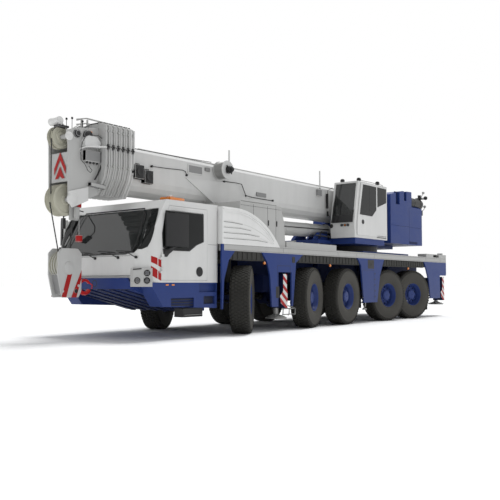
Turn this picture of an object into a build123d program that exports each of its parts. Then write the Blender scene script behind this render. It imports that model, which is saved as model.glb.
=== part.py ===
from build123d import *
import math
import os

os.makedirs("parts", exist_ok=True)

# Five-axle mobile crane, boom stowed over the driver's cab, wheels steered to the left.
# Millimetres. +X is forward, +Y is the crane's left, +Z is up, the ground is Z = 0.

# Overall
overall_width = 3000
body_half = overall_width / 2
rear_end_x = -7500
slip = 0.3
running_gap = 5

# Tyres and rims
tyre_diameter = 1490
tyre_width = 445
tyre_shoulder = 55
tyre_flank_radius = 520
tyre_crown_edge = 60
tyre_wall_bulge = 14
hub_taper = 40
tyre_bead_inset = 40
tyre_sides = 36
rim_sides = 24
pin_sides = 12
kingpin_sides = 8
hub_sides = 12
shaft_sides = 24
bead_radius = 330
rim_flange_inset = 34
rim_barrel_radius = 292
rim_disc_thick = 30
rim_disc_out = 122
hub_radius = 150
hub_out = 235
hub_in = 90
spindle_radius = 60
spindle_out = 180
tyre_radius = tyre_diameter / 2
track_half = body_half - tyre_width / 2

# Axles: rest steering angles in degrees, positive to the left
axle_1_x = 3380
axle_gap_12 = 2590
axle_gap_23 = 1700
axle_gap_34 = 2420
axle_gap_45 = 1720
# axle number, x, left steer, right steer
axles = (
    (1, axle_1_x, 33.0, 26.6),
    (2, axle_1_x - axle_gap_12, 15.5, 12.1),
    (3, axle_1_x - axle_gap_12 - axle_gap_23, 4.5, 3.5),
    (4, axle_1_x - axle_gap_12 - axle_gap_23 - axle_gap_34, -12.5, -9.7),
    (5, axle_1_x - axle_gap_12 - axle_gap_23 - axle_gap_34 - axle_gap_45, -18.5, -14.5),
)
kingpin_y = 1190
kingpin_radius = 35
knuckle_radius = 72
knuckle_half = 120
ear_thick = 40
ear_radius = 78
beam_width = 170
beam_height = 180
axle_ball_radius = 185
axle_ball_half = 150
strut_radius = 42
strut_y = 540
strut_x = 60
strut_top = 1480

# Frame and deck
frame_half = 450
frame_bottom = 950
frame_front_x = 6050
engine_bay_rear_x = 2500
rail_bottom = 1782
rail_top = 1915
frame_top = rail_top - slip
rail_front_x = 4236
rail_width = 150
deck_thick = 25
locker_x = 815
locker_y = 1240
locker_long = 2260
locker_wide = 480
locker_tall = 160
corner_box_long = 1600
corner_box_wide = 300
corner_box_tall = 130
corner_recess_x = -6675
apron_front_x = -2350
apron_rear_x = -5300
apron_half = 1150
apron_tall = 75
arch_panel_thick = 40
arch_top = 1580

# Outriggers
beam_x_gap = 236
outrigger_beam_w = 200
outrigger_beam_h = 340
outrigger_wall = 20
outrigger_z = 1085
outrigger_box_half = 1120
outrigger_reach = 1900
jack_y = 1235
jack_tube_radius = 95
jack_rod_radius = 60
jack_bottom = 520
jack_top = 1310
jack_plate_thick = 16
pad_radius = 255
pad_thick = 60
pad_taper = 40
# name, x of the left beam, pad underside
outrigger_rows = (("front", 2037, 270), ("rear", -7232, 380))

# Driver's cab
cab_half = 1375
cab_rear_x = 4305
cab_front_x = 6350
cab_bottom = 1110
frame_front_top = cab_bottom - slip
cab_roof = 2720
cab_wall = 60
cab_corner = 380
screen_foot_z = 1650
screen_top_z = 2560
screen_top_x = 5900
roof_front_x = 5800
door_front_x = 5925
door_rear_x = 4625
door_sill = 1150
door_top = 2600
window_sill = 1800
mirror_x = 6040
mirror_y = 1435
mirror_foot = 1880
mirror_tall = 560
hinge_pin_radius = 9
hinge_radius = 17
hinge_x = door_front_x + 6
hinge_y = cab_half + hinge_radius + 2
hinge_zs = (1350, 1620)

# Front bumper, skirts and headlamp housings
bumper_front_x = 6400
bumper_half = 1030
bumper_lip_z = 985
bumper_top_z = 1197
belly_z = 520
skirt_front_x = 6174
lamp_foot_z = 1030
lamp_front_x = 6405
lamp_top_z = 1380
# middle x, middle z, length, height of the step, the grille and the dark strip in the skirt
skirt_recesses = (
    (5345, 715, 650, 190),
    (4560, 755, 340, 160),
    (4610, 1000, 520, 170),
)
beacon_x = 5420
beacon_y = 900
beacon_radius = 62

# Hood behind the cab and the boxes beside the boom
hood_front_x = cab_rear_x - 15
hood_bend_x = 3860
hood_rear_x = 2237
hood_foot = rail_top
hood_wall = 40
hood_top = 2700
# drop below the rim, reach back of the louvre lines
hood_grooves = ((110, 1917), (320, 2114), (520, 2687))
hood_arc_z = 631
side_box_front_x = 3660
side_box_rear_x = 2139
side_box_top = 2870
side_box_in = 560
side_box_foot = rail_top + deck_thick
side_box_out = 1460

# Slewing superstructure
slew_x = -3450
ring_radius = 900
ring_bottom = rail_top + deck_thick
ring_top = 2195
base_top = 2300
base_front_x = -900
base_rear_x = -5400
base_half = 560
cheek_in = 452
cheek_thick = 60
boom_pivot_x = -4900
boom_pivot_z = 3300
pivot_radius = 70

# Operator's cab
op_front_x = -1510
op_rear_x = -3450
op_left = 1350
op_right = 590
op_bottom = 2360
op_top = 3950
op_wall = 45

# Counterweight
cw_front_x = -3640
cw_rear_x = -5860
cw_half = 1375
cw_in = 640
cw_bottom = base_top + slip
cw_top = 3968
cw_front_top = 3764
cw_seam_z = 2850
silencer_bay = 760
silencer_radius = 165
silencer_z = 3640
silencer_seat = 15
cw_slab_top = 2650
cw_slab_front = -5560

# Winch
winch_x = -5680
winch_z = 2950
winch_radius = 150
winch_flange = 195
winch_half = 330
winch_shaft_radius = 60

# Boom
boom_half = 430
boom_top = 3840
boom_bottom = 2880
bracket_bottom = boom_bottom + 5
boom_wall = 12
boom_step = 34
boom_corner = 90
fold_z = 3170
belly_steps = 8
boom_front_x = 5960
boom_rear_x = -5230
section_rear_x = -4600
collar_thick = 114
collar_rib = 30
collar_waist = 28
collar_shoulder = 3330
collar_pitch = 126
collar_half = 520
collar_top = 4190
collar_bottom = 2790
section_count = 5
tube_lip = 20

# Lamp boxes, panel, valve box: middle x, middle z, length, height, depth
boom_fittings = (
    (5735, 3330, 240, 280, 120),
    (5475, 3255, 230, 270, 120),
    (3980, 3602, 470, 200, 25),
    (-1095, 3610, 200, 200, 60),
)
# x and top of the posts on the boom's left edge
boom_posts = ((2805, 4220), (-1170, 4240))
post_half = 14
reel_x = 3180
reel_z = 3680
reel_radius = 212
reel_in = 450
reel_out = 720

# Luffing cylinder
luff_foot_x = -2350
luff_foot_z = 2620
luff_eye_x = 1880
luff_eye_z = 2550
luff_barrel_radius = 192
luff_rod_radius = 95
luff_barrel_length = 3750
luff_pin_radius = 55
luff_eye_half = 80
luff_lug_thick = 40
luff_lug_radius = 125

# Boom head, sheaves and hook block
head_front_x = 7300
head_half = 300
head_plate = 25
upper_sheave_x = 7276
upper_sheave_z = 3830
upper_sheave_radius = 215
lower_sheave_x = 7190
lower_sheave_z = 2659
lower_sheave_radius = 300
sheave_pin_radius = 45
sheave_thick = 60
sheave_sides = 48
guard_top = 4330
hook_x = 7130
block_half = 170
block_cheek = 36
hook_thick = 90
hook_ring_x = 6650
hook_ring_z = 1030
hook_ring_radius = 170
hook_throat_radius = 85
fall_ys = (-110, -37, 37, 110)
hook_top = 1750
hook_bottom = 830
rope_radius = 12


def side_plane(y):
    return Plane(origin=(0, y, 0), x_dir=(1, 0, 0), z_dir=(0, -1, 0))


# A solid with flat sides about the wheel's axis; each row is the distance out from the kingpin, the radius
def banded(rows, sides):
    rings = []
    for along, radius in rows:
        turns = [2 * math.pi * step / sides for step in range(sides)]
        rings.append([(radius * math.sin(turn), along, -radius * math.cos(turn)) for turn in turns])
    faces = [Face(Wire.make_polygon(rings[0])), Face(Wire.make_polygon(rings[-1]))]
    for near, far in zip(rings[:-1], rings[1:]):
        for step in range(sides):
            after = (step + 1) % sides
            faces.append(Face(Wire.make_polygon((near[step], near[after], far[after], far[step]))))
    return Solid(Shell(faces)).fix()


# A hole with as many flats as its pin, whose flats clear the pin's corners
def hole_radius(pin_radius, sides):
    return (pin_radius + slip) / math.cos(math.pi / sides)


# Tyre and rim, then the knuckle, each about its kingpin with the wheel straight ahead
tyre_in = track_half - tyre_width / 2 - kingpin_y
tyre_out = track_half + tyre_width / 2 - kingpin_y
tyre_rows = (
    (tyre_in, tyre_flank_radius),
    (tyre_in + tyre_wall_bulge, tyre_radius - tyre_shoulder),
    (tyre_in + tyre_crown_edge, tyre_radius),
    (tyre_out - tyre_crown_edge, tyre_radius),
    (tyre_out - tyre_wall_bulge, tyre_radius - tyre_shoulder),
    (tyre_out, tyre_flank_radius),
)
bead_rows = ((tyre_in - 1, bead_radius), (tyre_out + 1, bead_radius))
rim_rows = ((tyre_in + tyre_bead_inset, bead_radius - slip), (tyre_out - rim_flange_inset, bead_radius - slip))
rim_face_rows = ((rim_disc_out, rim_barrel_radius), (tyre_out, rim_barrel_radius))
rim_back_rows = ((tyre_in, rim_barrel_radius), (rim_disc_out - rim_disc_thick, rim_barrel_radius))
hub_rows = ((hub_in, hub_radius), (hub_out - hub_taper, hub_radius), (hub_out, hub_radius - hub_taper))
hub_bore = hole_radius(spindle_radius, shaft_sides)
hub_bore_rows = ((hub_in - 1, hub_bore), (spindle_out + running_gap, hub_bore))
spindle_rows = ((0, spindle_radius), (spindle_out, spindle_radius))
with BuildPart() as wheel_form:
    add(banded(tyre_rows, tyre_sides))
    add(banded(bead_rows, tyre_sides), mode=Mode.SUBTRACT)
    add(banded(rim_rows, tyre_sides))
    add(banded(rim_face_rows, rim_sides), mode=Mode.SUBTRACT)
    add(banded(rim_back_rows, rim_sides), mode=Mode.SUBTRACT)
    add(banded(hub_rows, hub_sides))
    add(banded(hub_bore_rows, shaft_sides), mode=Mode.SUBTRACT)

with BuildPart() as knuckle_form:
    with BuildSketch(Plane.XY.offset(slip - knuckle_half)):
        RegularPolygon(knuckle_radius, pin_sides)
    extrude(amount=2 * (knuckle_half - slip))
    with BuildSketch(Plane.XY.offset(-knuckle_half - ear_thick)):
        RegularPolygon(kingpin_radius, kingpin_sides)
    extrude(amount=2 * (knuckle_half + ear_thick))
    add(banded(spindle_rows, shaft_sides))

# Wheels and knuckles at their steering angles, one pair for each axle and side
for number, axle_x, left_steer, right_steer in axles:
    for side_name, side, turn in (("left", 1, left_steer), ("right", -1, right_steer + 180)):
        place = Location((axle_x, side * kingpin_y, tyre_radius), (0, 0, turn))
        with BuildPart() as wheel:
            add(wheel_form.part.moved(place))
        wheel.part.label = f"wheel_{number}_{side_name}"
        export_step(wheel.part, f"parts/wheel_{number}_{side_name}.step")

        with BuildPart() as knuckle:
            add(knuckle_form.part.moved(place))
        knuckle.part.label = f"knuckle_{number}_{side_name}"
        export_step(knuckle.part, f"parts/knuckle_{number}_{side_name}.step")

# Axle beam with forked ends, differential and suspension struts, repeated for each axle
with BuildPart() as axle_form:
    with BuildSketch(Plane.XY.offset(tyre_radius - beam_height / 2)):
        Rectangle(beam_width, 2 * (kingpin_y - knuckle_radius - 25))
    extrude(amount=beam_height)
    with BuildSketch(Plane.XZ.offset(-axle_ball_half)):
        with Locations((0, tyre_radius)):
            RegularPolygon(axle_ball_radius, pin_sides)
    extrude(amount=2 * axle_ball_half)
    for side in (1, -1):
        for ear_z in (tyre_radius - knuckle_half - ear_thick, tyre_radius + knuckle_half):
            with BuildSketch(Plane.XY.offset(ear_z)):
                with Locations((0, side * (kingpin_y - 75))):
                    Rectangle(2 * ear_radius, 150)
                with Locations((0, side * kingpin_y)):
                    RegularPolygon(ear_radius, kingpin_sides)
                    RegularPolygon(hole_radius(kingpin_radius, kingpin_sides), kingpin_sides, mode=Mode.SUBTRACT)
            extrude(amount=ear_thick)
        with BuildSketch(Plane.XY.offset(tyre_radius - knuckle_half - ear_thick)):
            with Locations((0, side * (kingpin_y - 125))):
                Rectangle(2 * ear_radius, 50)
        extrude(amount=2 * (knuckle_half + ear_thick))
        for along in (-strut_x, strut_x):
            with BuildSketch(Plane.XY.offset(tyre_radius)):
                with Locations((along, side * strut_y)):
                    RegularPolygon(strut_radius, 8)
            extrude(amount=strut_top - tyre_radius)

with BuildPart() as axle_beams:
    for number, axle_x, left_steer, right_steer in axles:
        add(axle_form.part.moved(Location((axle_x, 0, 0))))
axle_beams.part.label = "axle_beams"
export_step(axle_beams.part, "parts/axle_beams.step")

# Chassis frame: torsion box, engine bay rails, outrigger boxes and strut brackets
with BuildPart() as chassis_frame:
    with BuildSketch(Plane.XY.offset(frame_bottom)):
        with Locations(((engine_bay_rear_x + rear_end_x + 60) / 2, 0)):
            Rectangle(engine_bay_rear_x - rear_end_x - 60, 2 * frame_half)
    extrude(amount=frame_top - frame_bottom)
    with BuildSketch(Plane.XY.offset(frame_bottom)):
        with Locations(((engine_bay_rear_x + frame_front_x) / 2, 0)):
            Rectangle(frame_front_x - engine_bay_rear_x, 2 * frame_half)
    extrude(amount=frame_front_top - frame_bottom)
    for name, beam_x, pad_z in outrigger_rows:
        with BuildSketch(Plane.XY.offset(outrigger_z - outrigger_beam_h / 2 - outrigger_wall - running_gap)):
            with Locations((beam_x + beam_x_gap / 2, 0)):
                Rectangle(
                    beam_x_gap + outrigger_beam_w + 2 * (outrigger_wall + running_gap),
                    2 * outrigger_box_half,
                )
        extrude(amount=outrigger_beam_h + 2 * (outrigger_wall + running_gap))
    for number, axle_x, left_steer, right_steer in axles:
        for side in (1, -1):
            with BuildSketch(Plane.XY.offset(strut_top)):
                with Locations((axle_x, side * (frame_half + 75))):
                    Rectangle(240, 150)
            extrude(amount=frame_top - strut_top if number > 1 else 60)
        if number == 1:
            with BuildSketch(Plane.XY.offset(frame_front_top)):
                for side in (1, -1):
                    with Locations((axle_x, side * (frame_half - 20))):
                        Rectangle(240, 40)
            extrude(amount=strut_top + 60 - frame_front_top)
    for name, beam_x, pad_z in outrigger_rows:
        for side in (1, -1):
            cavity_x = beam_x if side > 0 else beam_x + beam_x_gap
            with BuildSketch(Plane.XY.offset(outrigger_z - outrigger_beam_h / 2 - running_gap)):
                with Locations((cavity_x, 0)):
                    Rectangle(outrigger_beam_w + 2 * running_gap, 2 * outrigger_box_half + 2)
            extrude(amount=outrigger_beam_h + 2 * running_gap, mode=Mode.SUBTRACT)
            for runner_z in (outrigger_z - outrigger_beam_h / 2 - running_gap, outrigger_z + outrigger_beam_h / 2 + slip):
                with BuildSketch(Plane.XY.offset(runner_z)):
                    with Locations((cavity_x, side * (outrigger_box_half - 60))):
                        Rectangle(outrigger_beam_w + 2 * running_gap, 120)
                extrude(amount=running_gap - slip)
chassis_frame.part.label = "chassis_frame"
export_step(chassis_frame.part, "parts/chassis_frame.step")

# Outrigger beams with jack tube and end plate, and jacks with foot pads
for name, beam_x, pad_z in outrigger_rows:
    for side_name, side in (("left", 1), ("right", -1)):
        jack_x = beam_x if side > 0 else beam_x + beam_x_gap
        with BuildPart() as beam:
            with BuildSketch(Plane.XY.offset(outrigger_z - outrigger_beam_h / 2)):
                with Locations((jack_x, side * (jack_y - outrigger_box_half) / 2)):
                    Rectangle(outrigger_beam_w, jack_y + outrigger_box_half)
            extrude(amount=outrigger_beam_h)
            with BuildSketch(Plane.XY.offset(jack_bottom)):
                with Locations((jack_x, side * jack_y)):
                    RegularPolygon(jack_tube_radius, pin_sides)
            extrude(amount=jack_top - jack_bottom)
            with BuildSketch(Plane.XY.offset(jack_bottom)):
                with Locations((jack_x, side * (body_half + jack_y) / 2)):
                    Rectangle(60, body_half - jack_y - 2)
            extrude(amount=jack_top - jack_bottom)
            with BuildSketch(side_plane(side * (body_half - 2))):
                Polygon(
                    (jack_x - 75, jack_top),
                    (jack_x + 75, jack_top),
                    (jack_x + 75, jack_top - 395),
                    (jack_x + 203, jack_bottom + 283),
                    (jack_x + 168, jack_bottom + 120),
                    (jack_x - 27, jack_bottom),
                    (jack_x - 97, jack_bottom),
                    (jack_x - 97, jack_top - 395),
                    (jack_x - 75, jack_top - 395),
                    align=None,
                )
            extrude(amount=side * jack_plate_thick)
            with BuildSketch(Plane.XY.offset(jack_bottom)):
                with Locations((jack_x, side * jack_y)):
                    RegularPolygon(jack_rod_radius + slip, pin_sides)
            extrude(amount=jack_top - jack_bottom - 20, mode=Mode.SUBTRACT)
        beam.part.label = f"outrigger_beam_{name}_{side_name}"
        export_step(beam.part, f"parts/outrigger_beam_{name}_{side_name}.step")
        with BuildPart() as jack:
            with BuildSketch(Plane.XY.offset(pad_z + pad_thick)):
                with Locations((jack_x, side * jack_y)):
                    RegularPolygon(jack_rod_radius, pin_sides)
            extrude(amount=jack_top - 60 - pad_z - pad_thick)
            with BuildSketch(Plane.XY.offset(pad_z)):
                with Locations((jack_x, side * jack_y)):
                    RegularPolygon(pad_radius, rim_sides)
            extrude(amount=pad_thick, taper=pad_taper)
        jack.part.label = f"outrigger_jack_{name}_{side_name}"
        export_step(jack.part, f"parts/outrigger_jack_{name}_{side_name}.step")

# Deck: rails along both sides, plates, raised boxes, rear corner boxes and the boxes behind the hood
def hood_profile(grow):
    with BuildSketch() as profile:
        with BuildLine():
            Line((hood_front_x + grow, hood_foot - 1), (hood_front_x + grow, hood_top + grow))
            Line((hood_front_x + grow, hood_top + grow), (hood_bend_x, hood_top + grow))
            TangentArc((hood_bend_x, hood_top + grow), (hood_rear_x - grow, hood_foot - 1), tangent=(-1, 0))
            Line((hood_rear_x - grow, hood_foot - 1), (hood_front_x + grow, hood_foot - 1))
        make_face()
    return profile.sketch


with BuildSketch() as side_box_face:
    Polygon(
        (side_box_front_x, side_box_top),
        (side_box_rear_x, side_box_top),
        (side_box_rear_x - 119, 2528),
        (side_box_rear_x - 179, side_box_foot),
        (side_box_front_x, side_box_foot),
        align=None,
    )
    add(hood_profile(2), mode=Mode.SUBTRACT)
side_box_profile = side_box_face.sketch
with BuildPart() as deck_slab:
    with BuildSketch(Plane.XY.offset(rail_bottom)):
        for side in (1, -1):
            with Locations(((rail_front_x + rear_end_x) / 2, side * (body_half - rail_width / 2))):
                Rectangle(rail_front_x - rear_end_x, rail_width)
    extrude(amount=rail_top - rail_bottom)
    with BuildSketch(Plane.XY.offset(rail_top)):
        with Locations(((hood_rear_x + rear_end_x) / 2, 0)):
            Rectangle(hood_rear_x - rear_end_x, 2 * body_half)
    extrude(amount=deck_thick)
# The lockers, corner boxes and side boxes are housings of their own that stand on the slab
with BuildPart() as deck_boxes:
    with BuildSketch(Plane.XY.offset(rail_top)):
        for side in (1, -1):
            with Locations((locker_x, side * locker_y)):
                Rectangle(locker_long, locker_wide)
    extrude(amount=locker_tall)
    with BuildSketch(Plane.XY.offset(rail_top)):
        for side in (1, -1):
            with Locations((rear_end_x + corner_box_long / 2, side * (body_half - corner_box_wide / 2))):
                Rectangle(corner_box_long, corner_box_wide)
    extrude(amount=corner_box_tall)
    for side in (1, -1):
        with BuildSketch(side_plane(side * body_half)):
            with Locations((corner_recess_x, rail_top + corner_box_tall / 2 + 5)):
                Rectangle(460, corner_box_tall - 50)
        extrude(amount=side * 110, mode=Mode.SUBTRACT)
    with BuildSketch(Plane.XZ):
        add(side_box_profile)
    extrude(amount=side_box_out, both=True)
    with BuildSketch(Plane.XZ):
        with Locations((side_box_rear_x, side_box_foot + 500)):
            Rectangle(4000, 1000)
    extrude(amount=side_box_in, both=True, mode=Mode.SUBTRACT)
    add(deck_slab.part, mode=Mode.SUBTRACT)
deck = Compound(label="deck", children=[*deck_slab.part.solids(), *deck_boxes.part.solids()])
export_step(deck, "parts/deck.step")

# Side panels with the wheel arches cut out
# name, points along the side from front to rear
panel_rows = (
    (
        (cab_rear_x, 560),
        (4264, 560),
        (4234, 1164),
        (4080, arch_top),
        (3874, rail_bottom),
        (rail_front_x + slip, rail_bottom),
        (rail_front_x + slip, rail_top),
        (cab_rear_x, rail_top),
    ),
    ((2548, 560), (2622, 1280), (2736, arch_top), (2922, rail_bottom), (1276, rail_bottom), (1578, arch_top), (1709, 560)),
    ((-1736, 560), (-1582, arch_top), (-1392, rail_bottom), (-2946, rail_bottom), (-2691, 1330), (-2510, 560)),
    ((-6190, 600), (-6065, 1200), (-5866, arch_top), (-5717, rail_bottom), (rear_end_x, rail_bottom), (rear_end_x, 1400), (-6963, 600)),
)
with BuildPart() as side_panels:
    for side in (1, -1):
        for outline in panel_rows:
            with BuildSketch(side_plane(side * body_half)):
                Polygon(*outline, align=None)
            extrude(amount=side * arch_panel_thick)
    for name, beam_x, pad_z in outrigger_rows:
        for side in (1, -1):
            jack_x = beam_x if side > 0 else beam_x + beam_x_gap
            with BuildSketch(side_plane(side * body_half)):
                with Locations((jack_x, 900)):
                    Rectangle(2 * pad_radius + 20, 900)
            extrude(amount=side * arch_panel_thick, mode=Mode.SUBTRACT)
    with BuildSketch(Plane.XY.offset(rail_top + deck_thick)):
        with Locations(((apron_front_x + apron_rear_x) / 2, 0)):
            Rectangle(apron_front_x - apron_rear_x, 2 * apron_half)
        with Locations((slew_x, 0)):
            RegularPolygon(ring_radius + running_gap, tyre_sides, mode=Mode.SUBTRACT)
    extrude(amount=apron_tall)
side_panels.part.label = "side_panels"
export_step(side_panels.part, "parts/side_panels.step")

# Mudguards over the wheels
# front x, rear x of each mudguard
mudguard_rows = ((4075, 2735), (1575, -1580), (-2950, -5865))
with BuildPart() as mudguards:
    for guard_front, guard_rear in mudguard_rows:
        for side in (1, -1):
            with BuildSketch(Plane.XY.offset(arch_top + 20)):
                with Locations(((guard_front + guard_rear) / 2, side * (body_half - 240))):
                    Rectangle(guard_front - guard_rear, 400)
            extrude(amount=rail_bottom - arch_top - 20 - slip)
mudguards.part.label = "mudguards"
export_step(mudguards.part, "parts/mudguards.step")


# Driver's cab: one outer body and one inner space give the shell and the doors
cab_side_points = (
    (cab_rear_x, cab_bottom),
    (cab_front_x - 20, cab_bottom),
    (cab_front_x, screen_foot_z),
    (screen_top_x, screen_top_z),
    (roof_front_x, cab_roof - 10),
    (cab_rear_x, cab_roof),
)


def cab_body(inset):
    with BuildPart() as body:
        with BuildSketch(Plane.XZ):
            Polygon(*cab_side_points, align=None)
            if inset:
                offset(amount=-inset, kind=Kind.INTERSECTION, mode=Mode.REPLACE)
        extrude(amount=cab_half - inset, both=True)
        with BuildSketch(Plane.XY.offset(cab_bottom - 10)):
            with BuildLine():
                Polyline(
                    (cab_front_x - inset, cab_half - inset - cab_corner),
                    (cab_front_x - inset, -cab_half + inset + cab_corner),
                )
                ThreePointArc(
                    (cab_front_x - inset, -cab_half + inset + cab_corner),
                    (cab_front_x - inset - 0.2929 * cab_corner, -cab_half + inset + 0.2929 * cab_corner),
                    (cab_front_x - inset - cab_corner, -cab_half + inset),
                )
                Polyline(
                    (cab_front_x - inset - cab_corner, -cab_half + inset),
                    (cab_rear_x - 50, -cab_half + inset),
                    (cab_rear_x - 50, cab_half - inset),
                    (cab_front_x - inset - cab_corner, cab_half - inset),
                )
                ThreePointArc(
                    (cab_front_x - inset - cab_corner, cab_half - inset),
                    (cab_front_x - inset - 0.2929 * cab_corner, cab_half - inset - 0.2929 * cab_corner),
                    (cab_front_x - inset, cab_half - inset - cab_corner),
                )
            make_face()
        extrude(amount=cab_roof - cab_bottom + 50, mode=Mode.INTERSECT)
    return body.part


cab_outer = cab_body(0)
cab_inner = cab_body(cab_wall)
door_points = (
    (door_rear_x, door_sill),
    (door_front_x, door_sill),
    (door_front_x, 1700),
    (door_front_x - 190, door_top),
    (door_rear_x, door_top),
)
window_points = (
    (door_rear_x + 130, 1950),
    (door_rear_x + 620, window_sill),
    (door_front_x - 90, window_sill - 20),
    (door_front_x - 255, door_top - 90),
    (door_rear_x + 130, door_top - 90),
)
with BuildPart() as driver_cab:
    add(cab_outer)
    add(cab_inner, mode=Mode.SUBTRACT)
    with BuildSketch(Plane.YZ.offset(5700)):
        Polygon(
            (-1060, screen_foot_z + 20),
            (1060, screen_foot_z + 20),
            (1180, screen_foot_z + 160),
            (1100, screen_top_z - 30),
            (-1100, screen_top_z - 30),
            (-1180, screen_foot_z + 160),
            align=None,
        )
    extrude(amount=800, mode=Mode.SUBTRACT)
    for side in (1, -1):
        with BuildSketch(side_plane(side * (cab_half + 10))):
            Polygon(*door_points, align=None)
        extrude(amount=side * (cab_wall + 20), mode=Mode.SUBTRACT)
        for hinge_z in hinge_zs:
            with BuildSketch(Plane.XY.offset(hinge_z - 60)):
                with Locations((hinge_x + 24, side * hinge_y)):
                    Rectangle(60, 2 * (hinge_y - cab_half) + 4)
            extrude(amount=30)
            with BuildSketch(Plane.XY.offset(hinge_z - 60)):
                with Locations((hinge_x, side * hinge_y)):
                    RegularPolygon(hinge_pin_radius, 8)
            extrude(amount=120)
    with BuildSketch(Plane.XY.offset(mirror_foot)):
        with Locations((mirror_x, -mirror_y)):
            Rectangle(90, 120)
    extrude(amount=mirror_tall)
    with BuildSketch(Plane.XY.offset(mirror_foot + mirror_tall - 70)):
        with Locations((mirror_x - 60, -(cab_half + mirror_y) / 2 + 20)):
            Rectangle(60, mirror_y - cab_half + 60)
    extrude(amount=40)
    with BuildSketch(Plane.XY.offset(mirror_foot + mirror_tall - 70)):
        with Locations((mirror_x - 40, -mirror_y)):
            Rectangle(60, 40)
    extrude(amount=40)
driver_cab.part.label = "driver_cab"
export_step(driver_cab.part, "parts/driver_cab.step")

for side_name, side in (("left", 1), ("right", -1)):
    with BuildPart() as cab_door:
        add(cab_outer)
        add(cab_inner, mode=Mode.SUBTRACT)
        with BuildSketch(side_plane(side * (cab_half + 10))):
            Polygon(*door_points, align=None)
            offset(amount=-running_gap, kind=Kind.INTERSECTION, mode=Mode.REPLACE)
        extrude(amount=side * (cab_wall + 10), mode=Mode.INTERSECT)
        with BuildSketch(side_plane(side * (cab_half + 10))):
            Polygon(*window_points, align=None)
        extrude(amount=side * (cab_wall + 20), mode=Mode.SUBTRACT)
        with BuildSketch(side_plane(side * (cab_half - 20))):
            Polygon(*window_points, align=None)
            offset(amount=-slip, kind=Kind.INTERSECTION, mode=Mode.REPLACE)
        extrude(amount=side * 6)
        for hinge_z in hinge_zs:
            with BuildSketch(Plane.XY.offset(hinge_z - 30 + slip)):
                with Locations((hinge_x, side * hinge_y)):
                    RegularPolygon(hinge_radius, 8)
                with Locations((hinge_x - 32, side * (hinge_y - hinge_radius / 2))):
                    Rectangle(64, hinge_radius)
                with Locations((hinge_x - 42, side * (cab_half + 4))):
                    Rectangle(44, 16)
            extrude(amount=60)
            with BuildSketch(Plane.XY.offset(hinge_z - 30)):
                with Locations((hinge_x, side * hinge_y)):
                    RegularPolygon(hole_radius(hinge_pin_radius, 8), 8)
            extrude(amount=70, mode=Mode.SUBTRACT)
    cab_door.part.label = f"driver_cab_door_{side_name}"
    export_step(cab_door.part, f"parts/driver_cab_door_{side_name}.step")

# Cab glass: windscreen as a slab inside the opening
with BuildPart() as cab_glass:
    add(cab_body(22))
    add(cab_body(30), mode=Mode.SUBTRACT)
    with BuildSketch(Plane.YZ.offset(5700)):
        Polygon(
            (-1060, screen_foot_z + 20),
            (1060, screen_foot_z + 20),
            (1180, screen_foot_z + 160),
            (1100, screen_top_z - 30),
            (-1100, screen_top_z - 30),
            (-1180, screen_foot_z + 160),
            align=None,
        )
        offset(amount=-slip, kind=Kind.INTERSECTION, mode=Mode.REPLACE)
    extrude(amount=800, mode=Mode.INTERSECT)
cab_glass.part.label = "driver_cab_glass"
export_step(cab_glass.part, "parts/driver_cab_glass.step")

# Cab interior: dashboard and two seats on the floor
cab_floor = cab_bottom + cab_wall + slip
seat_x = cab_front_x - 1400
with BuildPart() as cab_interior:
    with BuildSketch(Plane.XZ):
        Polygon(
            (cab_front_x - 850, cab_floor),
            (cab_front_x - 200, cab_floor),
            (cab_front_x - 150, screen_foot_z - 10),
            (cab_front_x - 400, screen_foot_z + 50),
            (cab_front_x - 650, screen_foot_z - 50),
            align=None,
        )
    extrude(amount=900, both=True)
    for side in (1, -1):
        with BuildSketch(side_plane(side * 620 + 260)):
            Polygon(
                (seat_x, cab_floor),
                (seat_x + 400, cab_floor),
                (seat_x + 400, cab_floor + 180),
                (seat_x + 470, cab_floor + 330),
                (seat_x + 110, cab_floor + 330),
                (seat_x - 150, cab_floor + 1080),
                (seat_x - 270, cab_floor + 1060),
                (seat_x - 50, cab_floor + 250),
                align=None,
            )
        extrude(amount=520)
cab_interior.part.label = "driver_cab_interior"
export_step(cab_interior.part, "parts/driver_cab_interior.step")

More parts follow.
